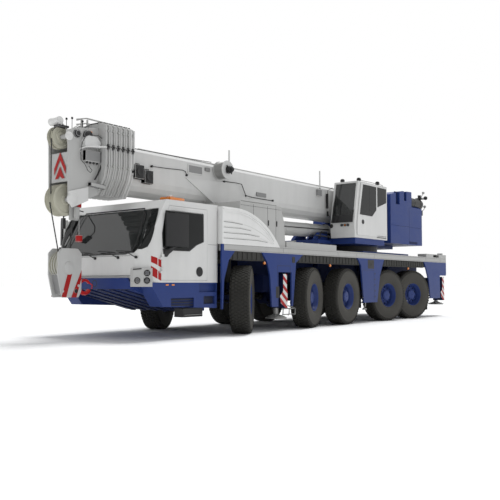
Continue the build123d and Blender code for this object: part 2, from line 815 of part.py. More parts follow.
# Front bumper: wedge below the cab, centre panel, side skirts with step and vent recesses
with BuildPart() as front_bumper:
    with BuildSketch(side_plane(bumper_half)):
        Polygon(
            (cab_rear_x + 20, cab_bottom - slip),
            (bumper_front_x, cab_bottom - slip),
            (bumper_front_x, bumper_lip_z),
            (cab_rear_x + 335, belly_z),
            (cab_rear_x + 20, belly_z),
            align=None,
        )
    extrude(amount=2 * bumper_half)
    with BuildSketch(Plane.YZ.offset(cab_front_x + 2)):
        Polygon(
            (-bumper_half, bumper_lip_z),
            (bumper_half, bumper_lip_z),
            (bumper_half, bumper_lip_z + 95),
            (bumper_half - 90, bumper_top_z),
            (-bumper_half + 90, bumper_top_z),
            (-bumper_half, bumper_lip_z + 95),
            align=None,
        )
    extrude(amount=bumper_front_x - cab_front_x - 2)
    for side in (1, -1):
        with BuildSketch(side_plane(side * cab_half)):
            Polygon(
                (cab_rear_x + 20, cab_bottom - slip),
                (skirt_front_x, cab_bottom - slip),
                (skirt_front_x, lamp_foot_z),
                (skirt_front_x - 290, 647),
                (cab_rear_x + 73, 586),
                (cab_rear_x + 20, 586),
                align=None,
            )
        extrude(amount=side * (cab_half - bumper_half + 10))
        for recess_x, recess_z, recess_long, recess_tall in skirt_recesses:
            with BuildSketch(side_plane(side * cab_half)):
                with Locations((recess_x, recess_z)):
                    Rectangle(recess_long, recess_tall)
            extrude(amount=side * 60, mode=Mode.SUBTRACT)
    with BuildSketch(Plane.XY.offset(frame_bottom - 20)):
        with Locations(((cab_rear_x + frame_front_x) / 2, 0)):
            Rectangle(frame_front_x - cab_rear_x + 20, 2 * frame_half + 2 * slip)
    extrude(amount=400, mode=Mode.SUBTRACT)
front_bumper.part.label = "front_bumper"
export_step(front_bumper.part, "parts/front_bumper.step")

# Engine hood behind the cab
hood_outer = hood_profile(0)
hood_inner = hood_profile(-hood_wall)
with BuildPart() as engine_hood:
    with BuildSketch(Plane.XZ):
        add(hood_outer)
    extrude(amount=body_half, both=True)
    with BuildSketch(Plane.XZ):
        add(hood_inner)
    extrude(amount=body_half - hood_wall, both=True, mode=Mode.SUBTRACT)
    with BuildSketch(Plane.XZ):
        with Locations(((hood_front_x + hood_rear_x) / 2, hood_foot - 50)):
            Rectangle(hood_front_x - hood_rear_x + 200, 100)
    extrude(amount=body_half + 10, both=True, mode=Mode.SUBTRACT)
    for groove_drop, groove_reach in hood_grooves:
        groove_line = [(hood_front_x - 90, hood_top - groove_drop)]
        for step in range(7):
            turn = step / 6 * math.acos((hood_foot + 75 - hood_arc_z) / (hood_top - groove_drop - hood_arc_z))
            groove_line.append(
                (
                    hood_bend_x - groove_reach * math.sin(turn),
                    hood_arc_z + (hood_top - groove_drop - hood_arc_z) * math.cos(turn),
                )
            )
        lower_line = [(line_x - 4, line_z - 14) for line_x, line_z in reversed(groove_line)]
        for side in (1, -1):
            with BuildSketch(side_plane(side * body_half)):
                Polygon(*groove_line, *lower_line, align=None)
            extrude(amount=side * 8, mode=Mode.SUBTRACT)
engine_hood.part.label = "engine_hood"
export_step(engine_hood.part, "parts/engine_hood.step")

# Engine as one plain block
with BuildPart() as engine:
    with BuildSketch(Plane.XY.offset(frame_front_top)):
        with Locations((3300, 0)):
            Rectangle(1300, 760)
    extrude(amount=1000)
engine.part.label = "engine"
export_step(engine.part, "parts/engine.step")

# Lamps on the carrier: headlamp housings round the cab's corners, beacon, rear lamps
with BuildPart() as lamps:
    for side in (1, -1):
        with BuildSketch(Plane.XY.offset(lamp_foot_z)):
            Polygon(
                (skirt_front_x + 2, side * (bumper_half + 5)),
                (lamp_front_x, side * (bumper_half + 5)),
                (lamp_front_x, side * (bumper_half + 80)),
                (lamp_front_x - 65, side * (bumper_half + 240)),
                (skirt_front_x + 2, side * (cab_half + 12)),
                align=None,
            )
        extrude(amount=lamp_top_z - lamp_foot_z)
        with BuildSketch(Plane.XY.offset(rail_top + corner_box_tall)):
            with Locations((rear_end_x + 150, side * (body_half - 150))):
                Rectangle(90, 160)
        extrude(amount=60)
    with BuildSketch(Plane.XY.offset(cab_roof - 20)):
        with Locations((beacon_x, beacon_y)):
            RegularPolygon(beacon_radius, rim_sides)
    extrude(amount=110)
    add(cab_outer, mode=Mode.SUBTRACT)
lamps.part.label = "lamps"
export_step(lamps.part, "parts/lamps.step")

# Slewing ring on the deck
with BuildPart() as slew_ring:
    with BuildSketch(Plane.XY.offset(ring_bottom)):
        with Locations((slew_x, 0)):
            RegularPolygon(ring_radius, tyre_sides)
            RegularPolygon(ring_radius - 180, rim_sides, mode=Mode.SUBTRACT)
    extrude(amount=ring_top - ring_bottom - slip)
slew_ring.part.label = "slew_ring"
export_step(slew_ring.part, "parts/slew_ring.step")

# Superstructure: base plate, cheeks for the boom pivot, cylinder lugs and cab platform
with BuildPart() as superstructure:
    with BuildSketch(Plane.XY.offset(ring_top)):
        with Locations(((base_front_x + base_rear_x) / 2, 0)):
            Rectangle(base_front_x - base_rear_x, 2 * base_half)
        with Locations((slew_x, 0)):
            RegularPolygon(ring_radius + 20, tyre_sides)
    extrude(amount=base_top - ring_top)
    with BuildSketch(Plane.XY.offset(ring_top)):
        with Locations(((op_front_x + op_rear_x) / 2, (op_left + base_half) / 2 - 40)):
            Rectangle(op_front_x - op_rear_x - 200, op_left - base_half)
    extrude(amount=op_bottom - slip - ring_top)
    for side in (1, -1):
        with BuildSketch(side_plane(side * cheek_in)):
            Polygon(
                (base_rear_x, base_top),
                (base_front_x - 900, base_top),
                (base_front_x - 1400, 2750),
                (-4500, 3450),
                (-5150, 3480),
                (winch_x - 200, winch_z + 190),
                (winch_x - 200, winch_z - 210),
                (base_rear_x, 2650),
                align=None,
            )
            with Locations((winch_x, winch_z)):
                RegularPolygon(hole_radius(winch_shaft_radius, shaft_sides), shaft_sides, mode=Mode.SUBTRACT)
        extrude(amount=-side * cheek_thick)
        with BuildSketch(side_plane(side * (luff_eye_half + slip))):
            Polygon(
                (luff_foot_x - luff_lug_radius, base_top),
                (luff_foot_x + luff_lug_radius, base_top),
                (luff_foot_x + luff_lug_radius, luff_foot_z),
                (luff_foot_x - luff_lug_radius, luff_foot_z),
                align=None,
            )
            with Locations((luff_foot_x, luff_foot_z)):
                RegularPolygon(luff_lug_radius, rim_sides)
        extrude(amount=-side * luff_lug_thick)
    with BuildSketch(Plane.XZ.offset(-(cheek_in + cheek_thick))):
        with Locations((boom_pivot_x, boom_pivot_z)):
            RegularPolygon(pivot_radius, rim_sides)
    extrude(amount=2 * (cheek_in + cheek_thick))
    with BuildSketch(Plane.XZ.offset(-(luff_eye_half + luff_lug_thick))):
        with Locations((luff_foot_x, luff_foot_z)):
            RegularPolygon(luff_pin_radius, pin_sides)
    extrude(amount=2 * (luff_eye_half + luff_lug_thick))
superstructure.part.label = "superstructure"
export_step(superstructure.part, "parts/superstructure.step")

# Operator's cab: shell, glass, sliding door, seat
op_side_points = (
    (op_rear_x, op_bottom),
    (op_front_x, op_bottom),
    (op_front_x + 20, 2780),
    (op_front_x - 210, op_top),
    (op_rear_x, op_top),
)
op_door_points = (
    (-2770, 2450),
    (-1640, 2450),
    (-1640, 2800),
    (-1870, 3895),
    (-2770, 3895),
)
op_rear_window = ((-3390, 3478), (-2850, 3307), (-2850, 3870), (-3390, 3870))
op_door_window = ((-2702, 3209), (-2457, 3016), (-1759, 3019), (-1955, 3855), (-2714, 3855))
op_screen_foot = 2785
op_screen_inset = 55
op_rail_zs = (2440, 3912)


def op_body(inset):
    with BuildPart() as body:
        with BuildSketch(side_plane(op_left - inset)):
            Polygon(*op_side_points, align=None)
            if inset:
                offset(amount=-inset, kind=Kind.INTERSECTION, mode=Mode.REPLACE)
        extrude(amount=op_left - op_right - 2 * inset)
    return body.part


with BuildPart() as operator_cab:
    add(op_body(0))
    add(op_body(op_wall), mode=Mode.SUBTRACT)
    with BuildSketch(Plane.YZ.offset(op_front_x - 400)):
        Polygon(
            (op_right + op_screen_inset, op_screen_foot),
            (op_left - op_screen_inset, op_screen_foot),
            (op_left - op_screen_inset, op_top - op_screen_inset),
            (op_right + op_screen_inset, op_top - op_screen_inset),
            align=None,
        )
    extrude(amount=500, mode=Mode.SUBTRACT)
    with BuildSketch(side_plane(op_left + 10)):
        Polygon(*op_door_points, align=None)
    extrude(amount=100, mode=Mode.SUBTRACT)
    with BuildSketch(side_plane(op_left + 10)):
        Polygon(*op_rear_window, align=None)
    extrude(amount=100, mode=Mode.SUBTRACT)
    with BuildSketch(side_plane(op_left)):
        with Locations((-3100, 2440)):
            Rectangle(580, 60)
    extrude(amount=30, mode=Mode.SUBTRACT)
    for rail_z in op_rail_zs:
        with BuildSketch(side_plane(op_left)):
            with Locations(((op_rear_x + op_front_x) / 2 - 60, rail_z)):
                Rectangle(op_front_x - op_rear_x - 200, 20)
        extrude(amount=-(running_gap - slip))
operator_cab.part.label = "operator_cab"
export_step(operator_cab.part, "parts/operator_cab.step")

with BuildPart() as operator_glass:
    add(op_body(15))
    add(op_body(23), mode=Mode.SUBTRACT)
    with BuildSketch(Plane.YZ.offset(op_front_x - 400)):
        Polygon(
            (op_right + op_screen_inset + slip, op_screen_foot + slip),
            (op_left - op_screen_inset - slip, op_screen_foot + slip),
            (op_left - op_screen_inset - slip, op_top - op_screen_inset - slip),
            (op_right + op_screen_inset + slip, op_top - op_screen_inset - slip),
            align=None,
        )
    extrude(amount=500, mode=Mode.INTERSECT)
    with BuildSketch(side_plane(op_left - 15)):
        Polygon(*op_rear_window, align=None)
        offset(amount=-slip, kind=Kind.INTERSECTION, mode=Mode.REPLACE)
    extrude(amount=8)
operator_glass.part.label = "operator_cab_glass"
export_step(operator_glass.part, "parts/operator_cab_glass.step")

with BuildPart() as operator_door:
    with BuildSketch(side_plane(op_left + running_gap + 25)):
        Polygon(*op_door_points, align=None)
        offset(amount=15, kind=Kind.INTERSECTION, mode=Mode.REPLACE)
        Polygon(*op_door_window, align=None, mode=Mode.SUBTRACT)
    extrude(amount=25)
    with BuildSketch(side_plane(op_left + running_gap + 15)):
        Polygon(*op_door_window, align=None)
        offset(amount=-slip, kind=Kind.INTERSECTION, mode=Mode.REPLACE)
    extrude(amount=6)
operator_door.part.label = "operator_cab_door"
export_step(operator_door.part, "parts/operator_cab_door.step")

with BuildPart() as operator_seat:
    with BuildSketch(side_plane(op_left - 140)):
        Polygon(
            (-2800, op_bottom + op_wall + slip),
            (-2300, op_bottom + op_wall + slip),
            (-2350, 2800),
            (-2700, 2850),
            (-2900, 3550),
            (-3020, 3530),
            (-2900, 2700),
            align=None,
        )
    extrude(amount=480)
operator_seat.part.label = "operator_cab_seat"
export_step(operator_seat.part, "parts/operator_cab_seat.step")

# Counterweight: side blocks joined by the rear slab, with the silencer in the left block's corner
with BuildPart() as counterweight:
    for side in (1, -1):
        with BuildSketch(side_plane(side * cw_half)):
            Polygon(
                (cw_front_x, cw_bottom),
                (cw_front_x, cw_front_top),
                (cw_front_x - 800, cw_top - 30),
                (cw_front_x - 1400, cw_top),
                (cw_rear_x, cw_top - 60),
                (cw_rear_x, cw_bottom),
                align=None,
            )
        extrude(amount=side * (cw_half - cw_in))
        for slot_x, slot_w, slot_foot in ((cw_front_x - 485, 250, 3500), (cw_front_x - 1010, 170, 3650)):
            with BuildSketch(side_plane(side * cw_half)):
                with Locations((slot_x, (slot_foot + cw_top) / 2)):
                    Rectangle(slot_w, cw_top - slot_foot)
            extrude(amount=side * 90, mode=Mode.SUBTRACT)
        with BuildSketch(side_plane(side * cw_half)):
            with Locations(((cw_front_x + cw_rear_x) / 2, cw_seam_z)):
                Rectangle(cw_front_x - cw_rear_x, 12)
        extrude(amount=side * 10, mode=Mode.SUBTRACT)
    with BuildSketch(side_plane(cw_half)):
        with Locations((cw_rear_x + silencer_bay / 2, silencer_z + 300 - silencer_radius + silencer_seat)):
            Rectangle(silencer_bay, 600)
    extrude(amount=2 * silencer_radius + 60, mode=Mode.SUBTRACT)
    with BuildSketch(Plane.YZ.offset(cw_rear_x)):
        with Locations((cw_half - silencer_radius - 20, silencer_z)):
            RegularPolygon(silencer_radius, rim_sides)
    extrude(amount=silencer_bay)
    with BuildSketch(Plane.XY.offset(cw_bottom)):
        with Locations(((cw_slab_front + cw_rear_x) / 2, 0)):
            Rectangle(cw_slab_front - cw_rear_x, 2 * cw_half)
    extrude(amount=cw_slab_top - cw_bottom)
counterweight.part.label = "counterweight"
export_step(counterweight.part, "parts/counterweight.step")

# Hoist winch drum across the rear
with BuildPart() as hoist_winch:
    with BuildSketch(Plane.XZ.offset(-winch_half)):
        with Locations((winch_x, winch_z)):
            RegularPolygon(winch_radius, rim_sides)
    extrude(amount=2 * winch_half)
    with BuildSketch(Plane.XZ.offset(-cheek_in - cheek_thick)):
        with Locations((winch_x, winch_z)):
            RegularPolygon(winch_shaft_radius, shaft_sides)
    extrude(amount=2 * (cheek_in + cheek_thick))
    for flange_y in (winch_half, -winch_half + 20):
        with BuildSketch(side_plane(flange_y)):
            with Locations((winch_x, winch_z)):
                RegularPolygon(winch_flange, rim_sides)
        extrude(amount=20)
hoist_winch.part.label = "hoist_winch"
export_step(hoist_winch.part, "parts/hoist_winch.step")


# Boom: nested tubes with flat top and round bottom
def tube_face(half, top, bottom, grow):
    side = half + grow
    high = top + grow
    deep = fold_z - bottom + grow
    belly = []
    for step in range(belly_steps + 1):
        turn = math.pi * step / belly_steps
        belly.append((-side * math.cos(turn), fold_z - deep * math.sin(turn)))
    with BuildSketch() as face:
        Polygon(
            (side, high - boom_corner),
            (side - boom_corner, high),
            (-side + boom_corner, high),
            (-side, high - boom_corner),
            *belly,
            align=None,
        )
    return face.sketch


def tube_size(index):
    shrink = index * boom_step
    return boom_half - shrink, boom_top - shrink, boom_bottom + shrink


# The collar outline, drawn in by inset
def collar_face(inset):
    half = collar_half - inset
    with BuildSketch() as face:
        Polygon(
            (-half, collar_top - inset - 60),
            (-half + 120, collar_top - inset),
            (half - 120, collar_top - inset),
            (half, collar_top - inset - 60),
            (half, collar_shoulder),
            (half - 60, collar_shoulder - 210),
            (half - 250, collar_bottom + inset),
            (-half + 250, collar_bottom + inset),
            (-half + 60, collar_shoulder - 210),
            (-half, collar_shoulder),
            align=None,
        )
    return face.sketch


def boom_tube(index, rear_x, front_x):
    half, top, bottom = tube_size(index)
    if index < section_count:
        inner = tube_face(*tube_size(index + 1), slip)
    else:
        inner = tube_face(half, top, bottom, -boom_wall)
    with BuildPart() as tube:
        with BuildSketch(Plane.YZ.offset(rear_x)):
            add(tube_face(half, top, bottom, 0))
            add(tube_face(half, top, bottom, -boom_wall), mode=Mode.SUBTRACT)
        extrude(amount=front_x - rear_x)
        for band_x, band_long, inset in (
            (front_x - collar_thick, collar_rib, 0),
            (front_x - collar_thick + collar_rib, collar_thick - 2 * collar_rib, collar_waist),
            (front_x - collar_rib, collar_rib, 0),
        ):
            with BuildSketch(Plane.YZ.offset(band_x)):
                add(collar_face(inset))
                add(inner, mode=Mode.SUBTRACT)
            extrude(amount=band_long)
    return tube.part


base_hollow = tube_face(*tube_size(0), -boom_wall)
with BuildPart() as boom_base:
    add(boom_tube(0, boom_rear_x, boom_front_x))
    with BuildSketch(Plane.XZ.offset(-boom_half - 10)):
        with Locations((boom_pivot_x, boom_pivot_z)):
            RegularPolygon(hole_radius(pivot_radius, rim_sides), rim_sides)
    extrude(amount=2 * boom_half + 20, mode=Mode.SUBTRACT)
    with BuildSketch(Plane.XZ):
        Polygon(
            (4283, 3387),
            (3316, bracket_bottom),
            (luff_eye_x - 200, bracket_bottom),
            (2212, 3174),
            (2405, 3467),
            align=None,
        )
    extrude(amount=boom_half + 30, both=True)
    for side in (1, -1):
        with BuildSketch(side_plane(side * (luff_eye_half + slip))):
            with Locations((luff_eye_x, luff_eye_z)):
                RegularPolygon(luff_lug_radius, rim_sides)
            Polygon(
                (luff_eye_x - luff_lug_radius, luff_eye_z),
                (luff_eye_x + luff_lug_radius, luff_eye_z),
                (luff_eye_x + luff_lug_radius, bracket_bottom + 2),
                (luff_eye_x - 2 * luff_lug_radius, bracket_bottom + 2),
                align=None,
            )
        extrude(amount=-side * luff_lug_thick)
    for fit_x, fit_z, fit_long, fit_tall, fit_deep in boom_fittings:
        with BuildSketch(side_plane(boom_half - 2)):
            with Locations((fit_x, fit_z)):
                Rectangle(fit_long, fit_tall)
        extrude(amount=-fit_deep - 2)
    with BuildSketch(side_plane(boom_half - 2)):
        with Locations((reel_x, reel_z)):
            RegularPolygon(reel_radius - 90, pin_sides)
    extrude(amount=-(reel_out - boom_half + 2))
    for flange_y in (reel_in, reel_out - 12):
        with BuildSketch(side_plane(flange_y)):
            with Locations((reel_x, reel_z)):
                RegularPolygon(reel_radius, rim_sides)
        extrude(amount=-12)
    for post_x, post_top in boom_posts:
        with BuildSketch(Plane.XY.offset(boom_top - boom_corner - 60)):
            with Locations((post_x, boom_half + post_half - 2)):
                Rectangle(2 * post_half, 2 * post_half)
        extrude(amount=post_top - boom_top + boom_corner + 60)
    with BuildSketch(Plane.YZ.offset(boom_rear_x)):
        add(base_hollow)
    extrude(amount=boom_front_x - boom_rear_x - collar_thick, mode=Mode.SUBTRACT)
boom_base.part.label = "boom_base"
export_step(boom_base.part, "parts/boom_base.step")

for index in range(1, section_count):
    section_front = boom_front_x + index * collar_pitch
    with BuildPart() as boom_section:
        add(boom_tube(index, section_rear_x + index * 60, section_front))
    boom_section.part.label = f"boom_section_{index}"
    export_step(boom_section.part, f"parts/boom_section_{index}.step")

# Innermost section carries the boom head
with BuildPart() as boom_fly:
    add(boom_tube(section_count, section_rear_x + section_count * 60, boom_front_x + section_count * collar_pitch))
    for side in (1, -1):
        with BuildSketch(side_plane(side * head_half)):
            Polygon(
                (boom_front_x + section_count * collar_pitch, 2800),
                (lower_sheave_x - 60, 2560),
                (lower_sheave_x + 90, 2600),
                (head_front_x, 3700),
                (upper_sheave_x + 60, 3930),
                (upper_sheave_x - 120, 4000),
                (boom_front_x + section_count * collar_pitch, 4100),
                align=None,
            )
        extrude(amount=side * head_plate)
    for pin_x, pin_z in ((upper_sheave_x, upper_sheave_z), (lower_sheave_x, lower_sheave_z)):
        with BuildSketch(Plane.XZ.offset(-head_half)):
            with Locations((pin_x, pin_z)):
                RegularPolygon(sheave_pin_radius, shaft_sides)
        extrude(amount=2 * head_half)
    with BuildSketch(Plane.YZ.offset(head_front_x - 50)):
        with Locations((0, 3265)):
            Rectangle(2 * head_half, 550)
    extrude(amount=20)
    with BuildSketch(Plane.XZ.offset(-head_half)):
        Polygon((6590, 4085), (7100, 4020), (7100, 3990), (6590, 4055), align=None)
    extrude(amount=2 * head_half)
    with BuildSketch(side_plane(head_half - 2)):
        with Locations((6790, 3505)):
            Rectangle(340, 210)
        Polygon((6830, 3010), (6480, 2980), (6480, 2905), (6830, 2935), align=None)
    extrude(amount=-90)
    for bar_top in (guard_top, guard_top - 100):
        with BuildSketch(Plane.XZ.offset(-12)):
            Polygon(
                (6880, bar_top - 60),
                (6640, bar_top),
                (6060, bar_top - 10),
                (6060, bar_top - 34),
                (6640, bar_top - 24),
                (6880, bar_top - 84),
                align=None,
            )
        extrude(amount=24)
    with BuildSketch(Plane.XY.offset(4030)):
        with Locations((6760, 0), (6620, 0)):
            Rectangle(30, 24)
    extrude(amount=guard_top - 4070)
boom_fly.part.label = f"boom_section_{section_count}"
export_step(boom_fly.part, f"parts/boom_section_{section_count}.step")

# Sheaves of the boom head
with BuildPart() as head_sheaves:
    for sheave_x, sheave_z, sheave_radius, sheave_ys in (
        (upper_sheave_x, upper_sheave_z, upper_sheave_radius, (-60, 60)),
        (lower_sheave_x, lower_sheave_z, lower_sheave_radius, fall_ys),
    ):
        for sheave_y in sheave_ys:
            with BuildSketch(side_plane(sheave_y + sheave_thick / 2)):
                with Locations((sheave_x, sheave_z)):
                    RegularPolygon(sheave_radius, sheave_sides)
                    RegularPolygon(hole_radius(sheave_pin_radius, shaft_sides), shaft_sides, mode=Mode.SUBTRACT)
            extrude(amount=sheave_thick)
head_sheaves.part.label = "head_sheaves"
export_step(head_sheaves.part, "parts/head_sheaves.step")

# Hook block: two cheeks round the sheave core, the hook pulled back, and the falls of the hoist rope
with BuildPart() as hook_block:
    for side in (1, -1):
        with BuildSketch(side_plane(side * block_half)):
            Polygon(
                (hook_x - 290, hook_top - 90),
                (hook_x - 200, hook_top),
                (hook_x + 200, hook_top),
                (hook_x + 300, hook_top - 90),
                (hook_x + 300, hook_bottom + 430),
                (hook_x + 170, hook_bottom),
                (hook_x - 230, hook_bottom),
                (hook_x - 290, hook_bottom + 120),
                align=None,
            )
        extrude(amount=side * block_cheek)
    with BuildSketch(side_plane(block_half - block_cheek)):
        Polygon(
            (hook_x - 230, hook_top - 120),
            (hook_x + 240, hook_top - 120),
            (hook_x + 240, hook_bottom + 450),
            (hook_x + 120, hook_bottom + 60),
            (hook_x - 230, hook_bottom + 60),
            align=None,
        )
    extrude(amount=2 * (block_half - block_cheek))
    with BuildSketch(side_plane(hook_thick / 2)):
        with Locations((hook_ring_x, hook_ring_z)):
            RegularPolygon(hook_ring_radius, rim_sides)
            RegularPolygon(hook_throat_radius, rim_sides, mode=Mode.SUBTRACT)
        Polygon(
            (hook_ring_x + hook_throat_radius + 20, hook_ring_z + 130),
            (hook_x - 200, hook_ring_z + 130),
            (hook_x - 200, hook_ring_z - 60),
            (hook_ring_x + hook_throat_radius + 20, hook_ring_z - 60),
            align=None,
        )
        Polygon(
            (hook_ring_x - 60, hook_ring_z + 240),
            (hook_ring_x - 10, hook_ring_z + 60),
            (hook_ring_x - 240, hook_ring_z + 40),
            (hook_ring_x - 240, hook_ring_z + 240),
            align=None,
            mode=Mode.SUBTRACT,
        )
    extrude(amount=hook_thick)
    for fall_side in (1, -1):
        start_x = hook_x + fall_side * 150
        start_z = hook_top - 121
        span = math.hypot(lower_sheave_x - start_x, lower_sheave_z - start_z)
        lean = math.atan2(lower_sheave_x - start_x, lower_sheave_z - start_z)
        lean = lean + fall_side * math.asin((lower_sheave_radius + rope_radius + slip) / span)
        for rope_y in fall_ys:
            with BuildSketch(Plane(origin=(start_x, rope_y, start_z), z_dir=(math.sin(lean), 0, math.cos(lean)))):
                RegularPolygon(rope_radius, 6)
            extrude(amount=math.sqrt(span**2 - (lower_sheave_radius + rope_radius + slip) ** 2))
hook_block.part.label = "hook_block"
export_step(hook_block.part, "parts/hook_block.step")

# Luffing cylinder: barrel on its foot pin, rod with its eye at the boom
luff_angle = math.degrees(math.atan2(luff_eye_z - luff_foot_z, luff_eye_x - luff_foot_x))
luff_length = math.hypot(luff_eye_x - luff_foot_x, luff_eye_z - luff_foot_z)
luff_dir = (math.cos(math.radians(luff_angle)), 0, math.sin(math.radians(luff_angle)))
luff_plane = Plane(origin=(luff_foot_x, 0, luff_foot_z), x_dir=(0, 1, 0), z_dir=luff_dir)
with BuildPart() as luff_barrel:
    with BuildSketch(luff_plane.offset(luff_lug_radius + 20)):
        RegularPolygon(luff_barrel_radius, rim_sides)
    extrude(amount=luff_barrel_length - luff_lug_radius - 20)
    with BuildSketch(side_plane(luff_eye_half)):
        with Locations((luff_foot_x, luff_foot_z)):
            RegularPolygon(luff_lug_radius - 10, rim_sides)
        with Locations((luff_foot_x + 100, luff_foot_z)):
            Rectangle(200, 2 * luff_lug_radius - 60)
    extrude(amount=2 * luff_eye_half)
    with BuildSketch(side_plane(luff_eye_half)):
        with Locations((luff_foot_x, luff_foot_z)):
            RegularPolygon(hole_radius(luff_pin_radius, pin_sides), pin_sides)
    extrude(amount=2 * luff_eye_half, mode=Mode.SUBTRACT)
    with BuildSketch(luff_plane.offset(luff_lug_radius + 120)):
        RegularPolygon(luff_rod_radius + slip, rim_sides)
    extrude(amount=luff_barrel_length, mode=Mode.SUBTRACT)
luff_barrel.part.label = "luff_barrel"
export_step(luff_barrel.part, "parts/luff_barrel.step")

with BuildPart() as luff_rod:
    with BuildSketch(luff_plane.offset(luff_lug_radius + 140)):
        RegularPolygon(luff_rod_radius, rim_sides)
    extrude(amount=luff_length - 2 * luff_lug_radius - 165)
    with BuildSketch(side_plane(luff_eye_half)):
        with Locations((luff_eye_x, luff_eye_z)):
            RegularPolygon(luff_lug_radius - 10, rim_sides)
        with Locations((luff_eye_x - 100, luff_eye_z)):
            Rectangle(200, 2 * luff_rod_radius - 20)
    extrude(amount=2 * luff_eye_half)
luff_rod.part.label = "luff_rod"
export_step(luff_rod.part, "parts/luff_rod.step")
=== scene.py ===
import math

import bmesh
import bpy
from mathutils import Matrix, Vector
from mathutils.bvhtree import BVHTree


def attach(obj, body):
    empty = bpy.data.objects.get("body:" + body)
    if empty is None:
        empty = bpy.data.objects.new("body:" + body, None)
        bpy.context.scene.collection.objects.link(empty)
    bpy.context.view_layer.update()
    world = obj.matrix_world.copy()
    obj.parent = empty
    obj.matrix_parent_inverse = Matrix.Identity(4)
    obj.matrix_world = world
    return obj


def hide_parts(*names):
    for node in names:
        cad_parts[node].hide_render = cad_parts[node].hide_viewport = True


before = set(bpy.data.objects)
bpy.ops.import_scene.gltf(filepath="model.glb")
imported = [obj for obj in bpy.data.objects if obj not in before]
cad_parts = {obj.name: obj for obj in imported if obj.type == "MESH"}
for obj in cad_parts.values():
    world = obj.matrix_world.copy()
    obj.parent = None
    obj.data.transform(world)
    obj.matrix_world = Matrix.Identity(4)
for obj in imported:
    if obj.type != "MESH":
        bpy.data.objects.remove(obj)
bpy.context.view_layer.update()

# Five-axle mobile crane. Metres, +X forward, +Y the crane's left, +Z up.

# Shader helpers


def tint(color, factor):
    return (color[0] * factor, color[1] * factor, color[2] * factor, 1.0)


def feed(tree, node, inputs):
    """Sets each input to a value, or links it to another node's output."""
    for key, value in inputs.items():
        if isinstance(value, bpy.types.NodeSocket):
            tree.links.new(value, node.inputs[key])
        else:
            node.inputs[key].default_value = value
    return node


def add_node(tree, kind, inputs, **settings):
    node = tree.nodes.new("ShaderNode" + kind)
    for key, value in settings.items():
        setattr(node, key, value)
    return feed(tree, node, inputs)


def new_look(name):
    look = bpy.data.materials.new(name)
    look.use_nodes = True
    return look, look.node_tree, look.node_tree.nodes["Principled BSDF"]


def object_place(tree):
    return add_node(tree, "TexCoord", {}).outputs["Object"]


def noise(tree, scale, detail=4.0, rough=0.55, stretch=None):
    place = object_place(tree)
    if stretch:
        place = add_node(tree, "Mapping", {"Vector": place, "Scale": stretch}).outputs["Vector"]
    inputs = {"Vector": place, "Scale": scale, "Detail": detail, "Roughness": rough}
    return add_node(tree, "TexNoise", inputs).outputs["Fac"]


def ramp(tree, source, color, *stops):
    """Tints of one colour; each stop is a place and a factor."""
    node = add_node(tree, "ValToRGB", {"Fac": source})
    elements = node.color_ramp.elements
    elements.remove(elements[1])
    for index, (place, factor) in enumerate(stops):
        element = elements.new(place) if index else elements[0]
        element.position = place
        element.color = tint(color, factor)
    return node.outputs["Color"]


def spread_over(tree, source, low, high, to_low, to_high):
    """Maps source from low..high onto to_low..to_high."""
    inputs = {"Value": source, "From Min": low, "From Max": high, "To Min": to_low, "To Max": to_high}
    return add_node(tree, "MapRange", inputs).outputs["Result"]


def bumped(tree, height, strength, distance):
    inputs = {"Height": height, "Strength": strength, "Distance": distance}
    return add_node(tree, "Bump", inputs).outputs["Normal"]


# Shares of the noise between which the roughness changes, and the road dust's colour, reach and share
rough_span = (0.3, 0.7)
dust_color = (0.16, 0.15, 0.13)
dust_from, dust_to = 0.5, 1.3
dust_share = 0.14


def paint(name, color, rough=0.32, coat=0.35, gloss=0.3):
    """Sprayed paint: slow tone changes, rain streaks, fine orange peel and road dust low down."""
    look, tree, shader = new_look(name)
    tone = noise(tree, 1.3, 5.0, 0.6)
    base = ramp(tree, tone, color, (0.3, 0.95), (0.62, 1.0), (0.85, 1.04))
    runs = ramp(tree, noise(tree, 2.0, 3.0, 0.5, (3.0, 3.0, 0.35)), (1, 1, 1), (0.32, 0.965), (0.55, 1.0))
    mixed = {"Factor": 1.0, "A": base, "B": runs}
    streaked = add_node(tree, "Mix", mixed, data_type="RGBA", blend_type="MULTIPLY").outputs["Result"]
    height = add_node(tree, "SeparateXYZ", {"Vector": object_place(tree)}).outputs["Z"]
    low_down = spread_over(tree, height, dust_from, dust_to, dust_share, 0.0)
    amount = add_node(tree, "Math", {0: low_down, 1: tone}, operation="MULTIPLY").outputs["Value"]
    mixed = {"Factor": amount, "A": streaked, "B": tint(dust_color, 1.0)}
    feed(tree, shader, {
        "Base Color": add_node(tree, "Mix", mixed, data_type="RGBA").outputs["Result"],
        "Roughness": spread_over(tree, tone, *rough_span, rough, rough + 0.14),
        "Normal": bumped(tree, noise(tree, 140.0, 2.0), 0.12, 0.0006),
        "Specular IOR Level": gloss, "Coat Weight": coat, "Coat Roughness": 0.12,
    })
    return look


def plain(name, color, rough=0.6, spread=0.75, scale=18.0, bump=0.3, metal=0.0, coat=0.0, gloss=0.3):
    """Moulded plastic, rubber, cast or worn metal: mottled colour, grain and uneven gloss."""
    look, tree, shader = new_look(name)
    tone = noise(tree, scale * 0.12, 5.0, 0.65)
    feed(tree, shader, {
        "Base Color": ramp(tree, tone, color, (0.3, spread), (0.7, 1.1)),
        "Roughness": spread_over(tree, tone, *rough_span, max(rough - 0.08, 0.03), rough + 0.1),
        "Normal": bumped(tree, noise(tree, scale * 12.0, 3.0), bump, 0.0008),
        "Metallic": metal, "Specular IOR Level": gloss, "Coat Weight": coat,
    })
    return look


